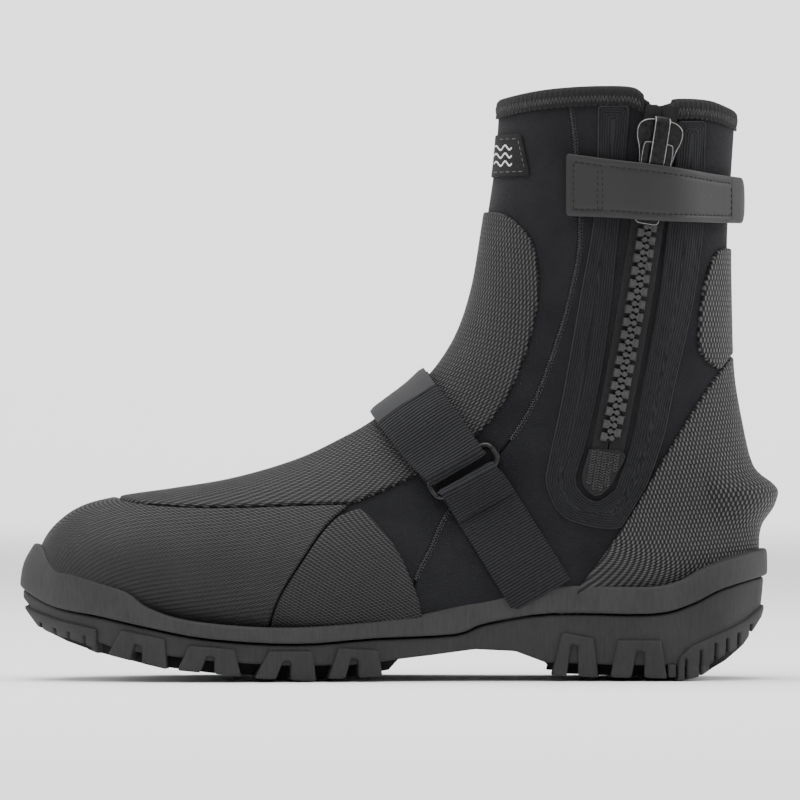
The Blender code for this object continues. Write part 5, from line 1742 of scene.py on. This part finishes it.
def make_camera():
    camera = bpy.data.cameras.new("camera")
    camera.sensor_width = SENSOR
    camera.lens = SENSOR * (CAMERA_DISTANCE - NEAR_SIDE) / VIEW_WIDTH
    camera.clip_start, camera.clip_end = 0.05, 30
    placed = bpy.data.objects.new("camera", camera)
    bpy.context.scene.collection.objects.link(placed)
    placed.location = (PHOTO_MIDDLE[0], -CAMERA_DISTANCE, PHOTO_MIDDLE[1])
    placed.rotation_euler = (math.radians(90), 0, 0)
    bpy.context.scene.camera = placed


def area_light(name, place, target, size, power):
    light = bpy.data.lights.new(name, "AREA")
    light.shape = "RECTANGLE"
    light.size, light.size_y = size
    light.energy = power
    placed = bpy.data.objects.new(name, light)
    bpy.context.scene.collection.objects.link(placed)
    placed.location = place
    placed.rotation_euler = (Vector(target) - Vector(place)).to_track_quat("-Z", "Y").to_euler()


def make_stage():
    look = Look("pale_floor", 0.9, Specular_IOR_Level=0.0)
    look.paint(look.colours(look.noise(3.0), (0.92, 0.92, 0.92), (0.93, 0.93, 0.93)))
    flat, curve, wall = 4.6, 0.8, 1.5
    profile = [(0.02, 0.0), (flat, 0.0)]
    profile += [(flat + curve * math.sin(a), curve - curve * math.cos(a))
                for a in np.radians(np.arange(10, 91, 10))]
    profile += [(flat + curve, wall)]
    around = np.linspace(0, 2 * math.pi, 97)[:-1]
    rows = np.array([[(r * math.cos(a), r * math.sin(a), z) for a in around] for r, z in profile])
    last = len(around) - 1
    middle = [(k, k + 1, last - k) for k in range(last // 2)]
    middle += [(k + 1, last - 1 - k, last - k) for k in range(last // 2)]
    faces = np.vstack([grid_faces(len(rows), len(around)), middle])
    floor = mesh_object("floor", rows.reshape(-1, 3), faces, look.material, sharp=60)
    area_light("top", (-0.3, 0.1, 2.3), (0, 0, 0), (2.4, 1.8), 78)
    area_light("left", (-2.2, 0.3, 1.25), (0, 0, 0.1), (1.4, 1.4), 26)
    area_light("right", (2.2, 0.1, 1.25), (0, 0, 0.12), (1.4, 1.4), 38)
    area_light("front", (0, -1.9, 2.5), (0, -1.7, 0), (3.0, 1.2), 30)
    area_light("backdrop", (0, 3.9, 2.6), (0, 6.0, 0.6), (3.8, 1.0), 130)
    world = bpy.data.worlds.new("studio")
    world.use_nodes = True
    background = world.node_tree.nodes["Background"]
    background.inputs[0].default_value = (1, 1, 1, 1)
    background.inputs[1].default_value = 0.55
    bpy.context.scene.world = world


make_camera()
LOOKS = make_looks()
FORM = form_skin()
SOLE = sole_skin()
WALL = BVHTree.FromPolygons(FORM.points.tolist(), FORM.faces.tolist())

make_neoprene()
binding = make_collar()
make_guards()
make_label()
make_zip()
make_slider()
make_ankle_strap()
make_instep_strap()
make_sole()
make_stitches()
collar_stitches(binding)
make_linings()
make_insole()
carried_over()
make_stage()
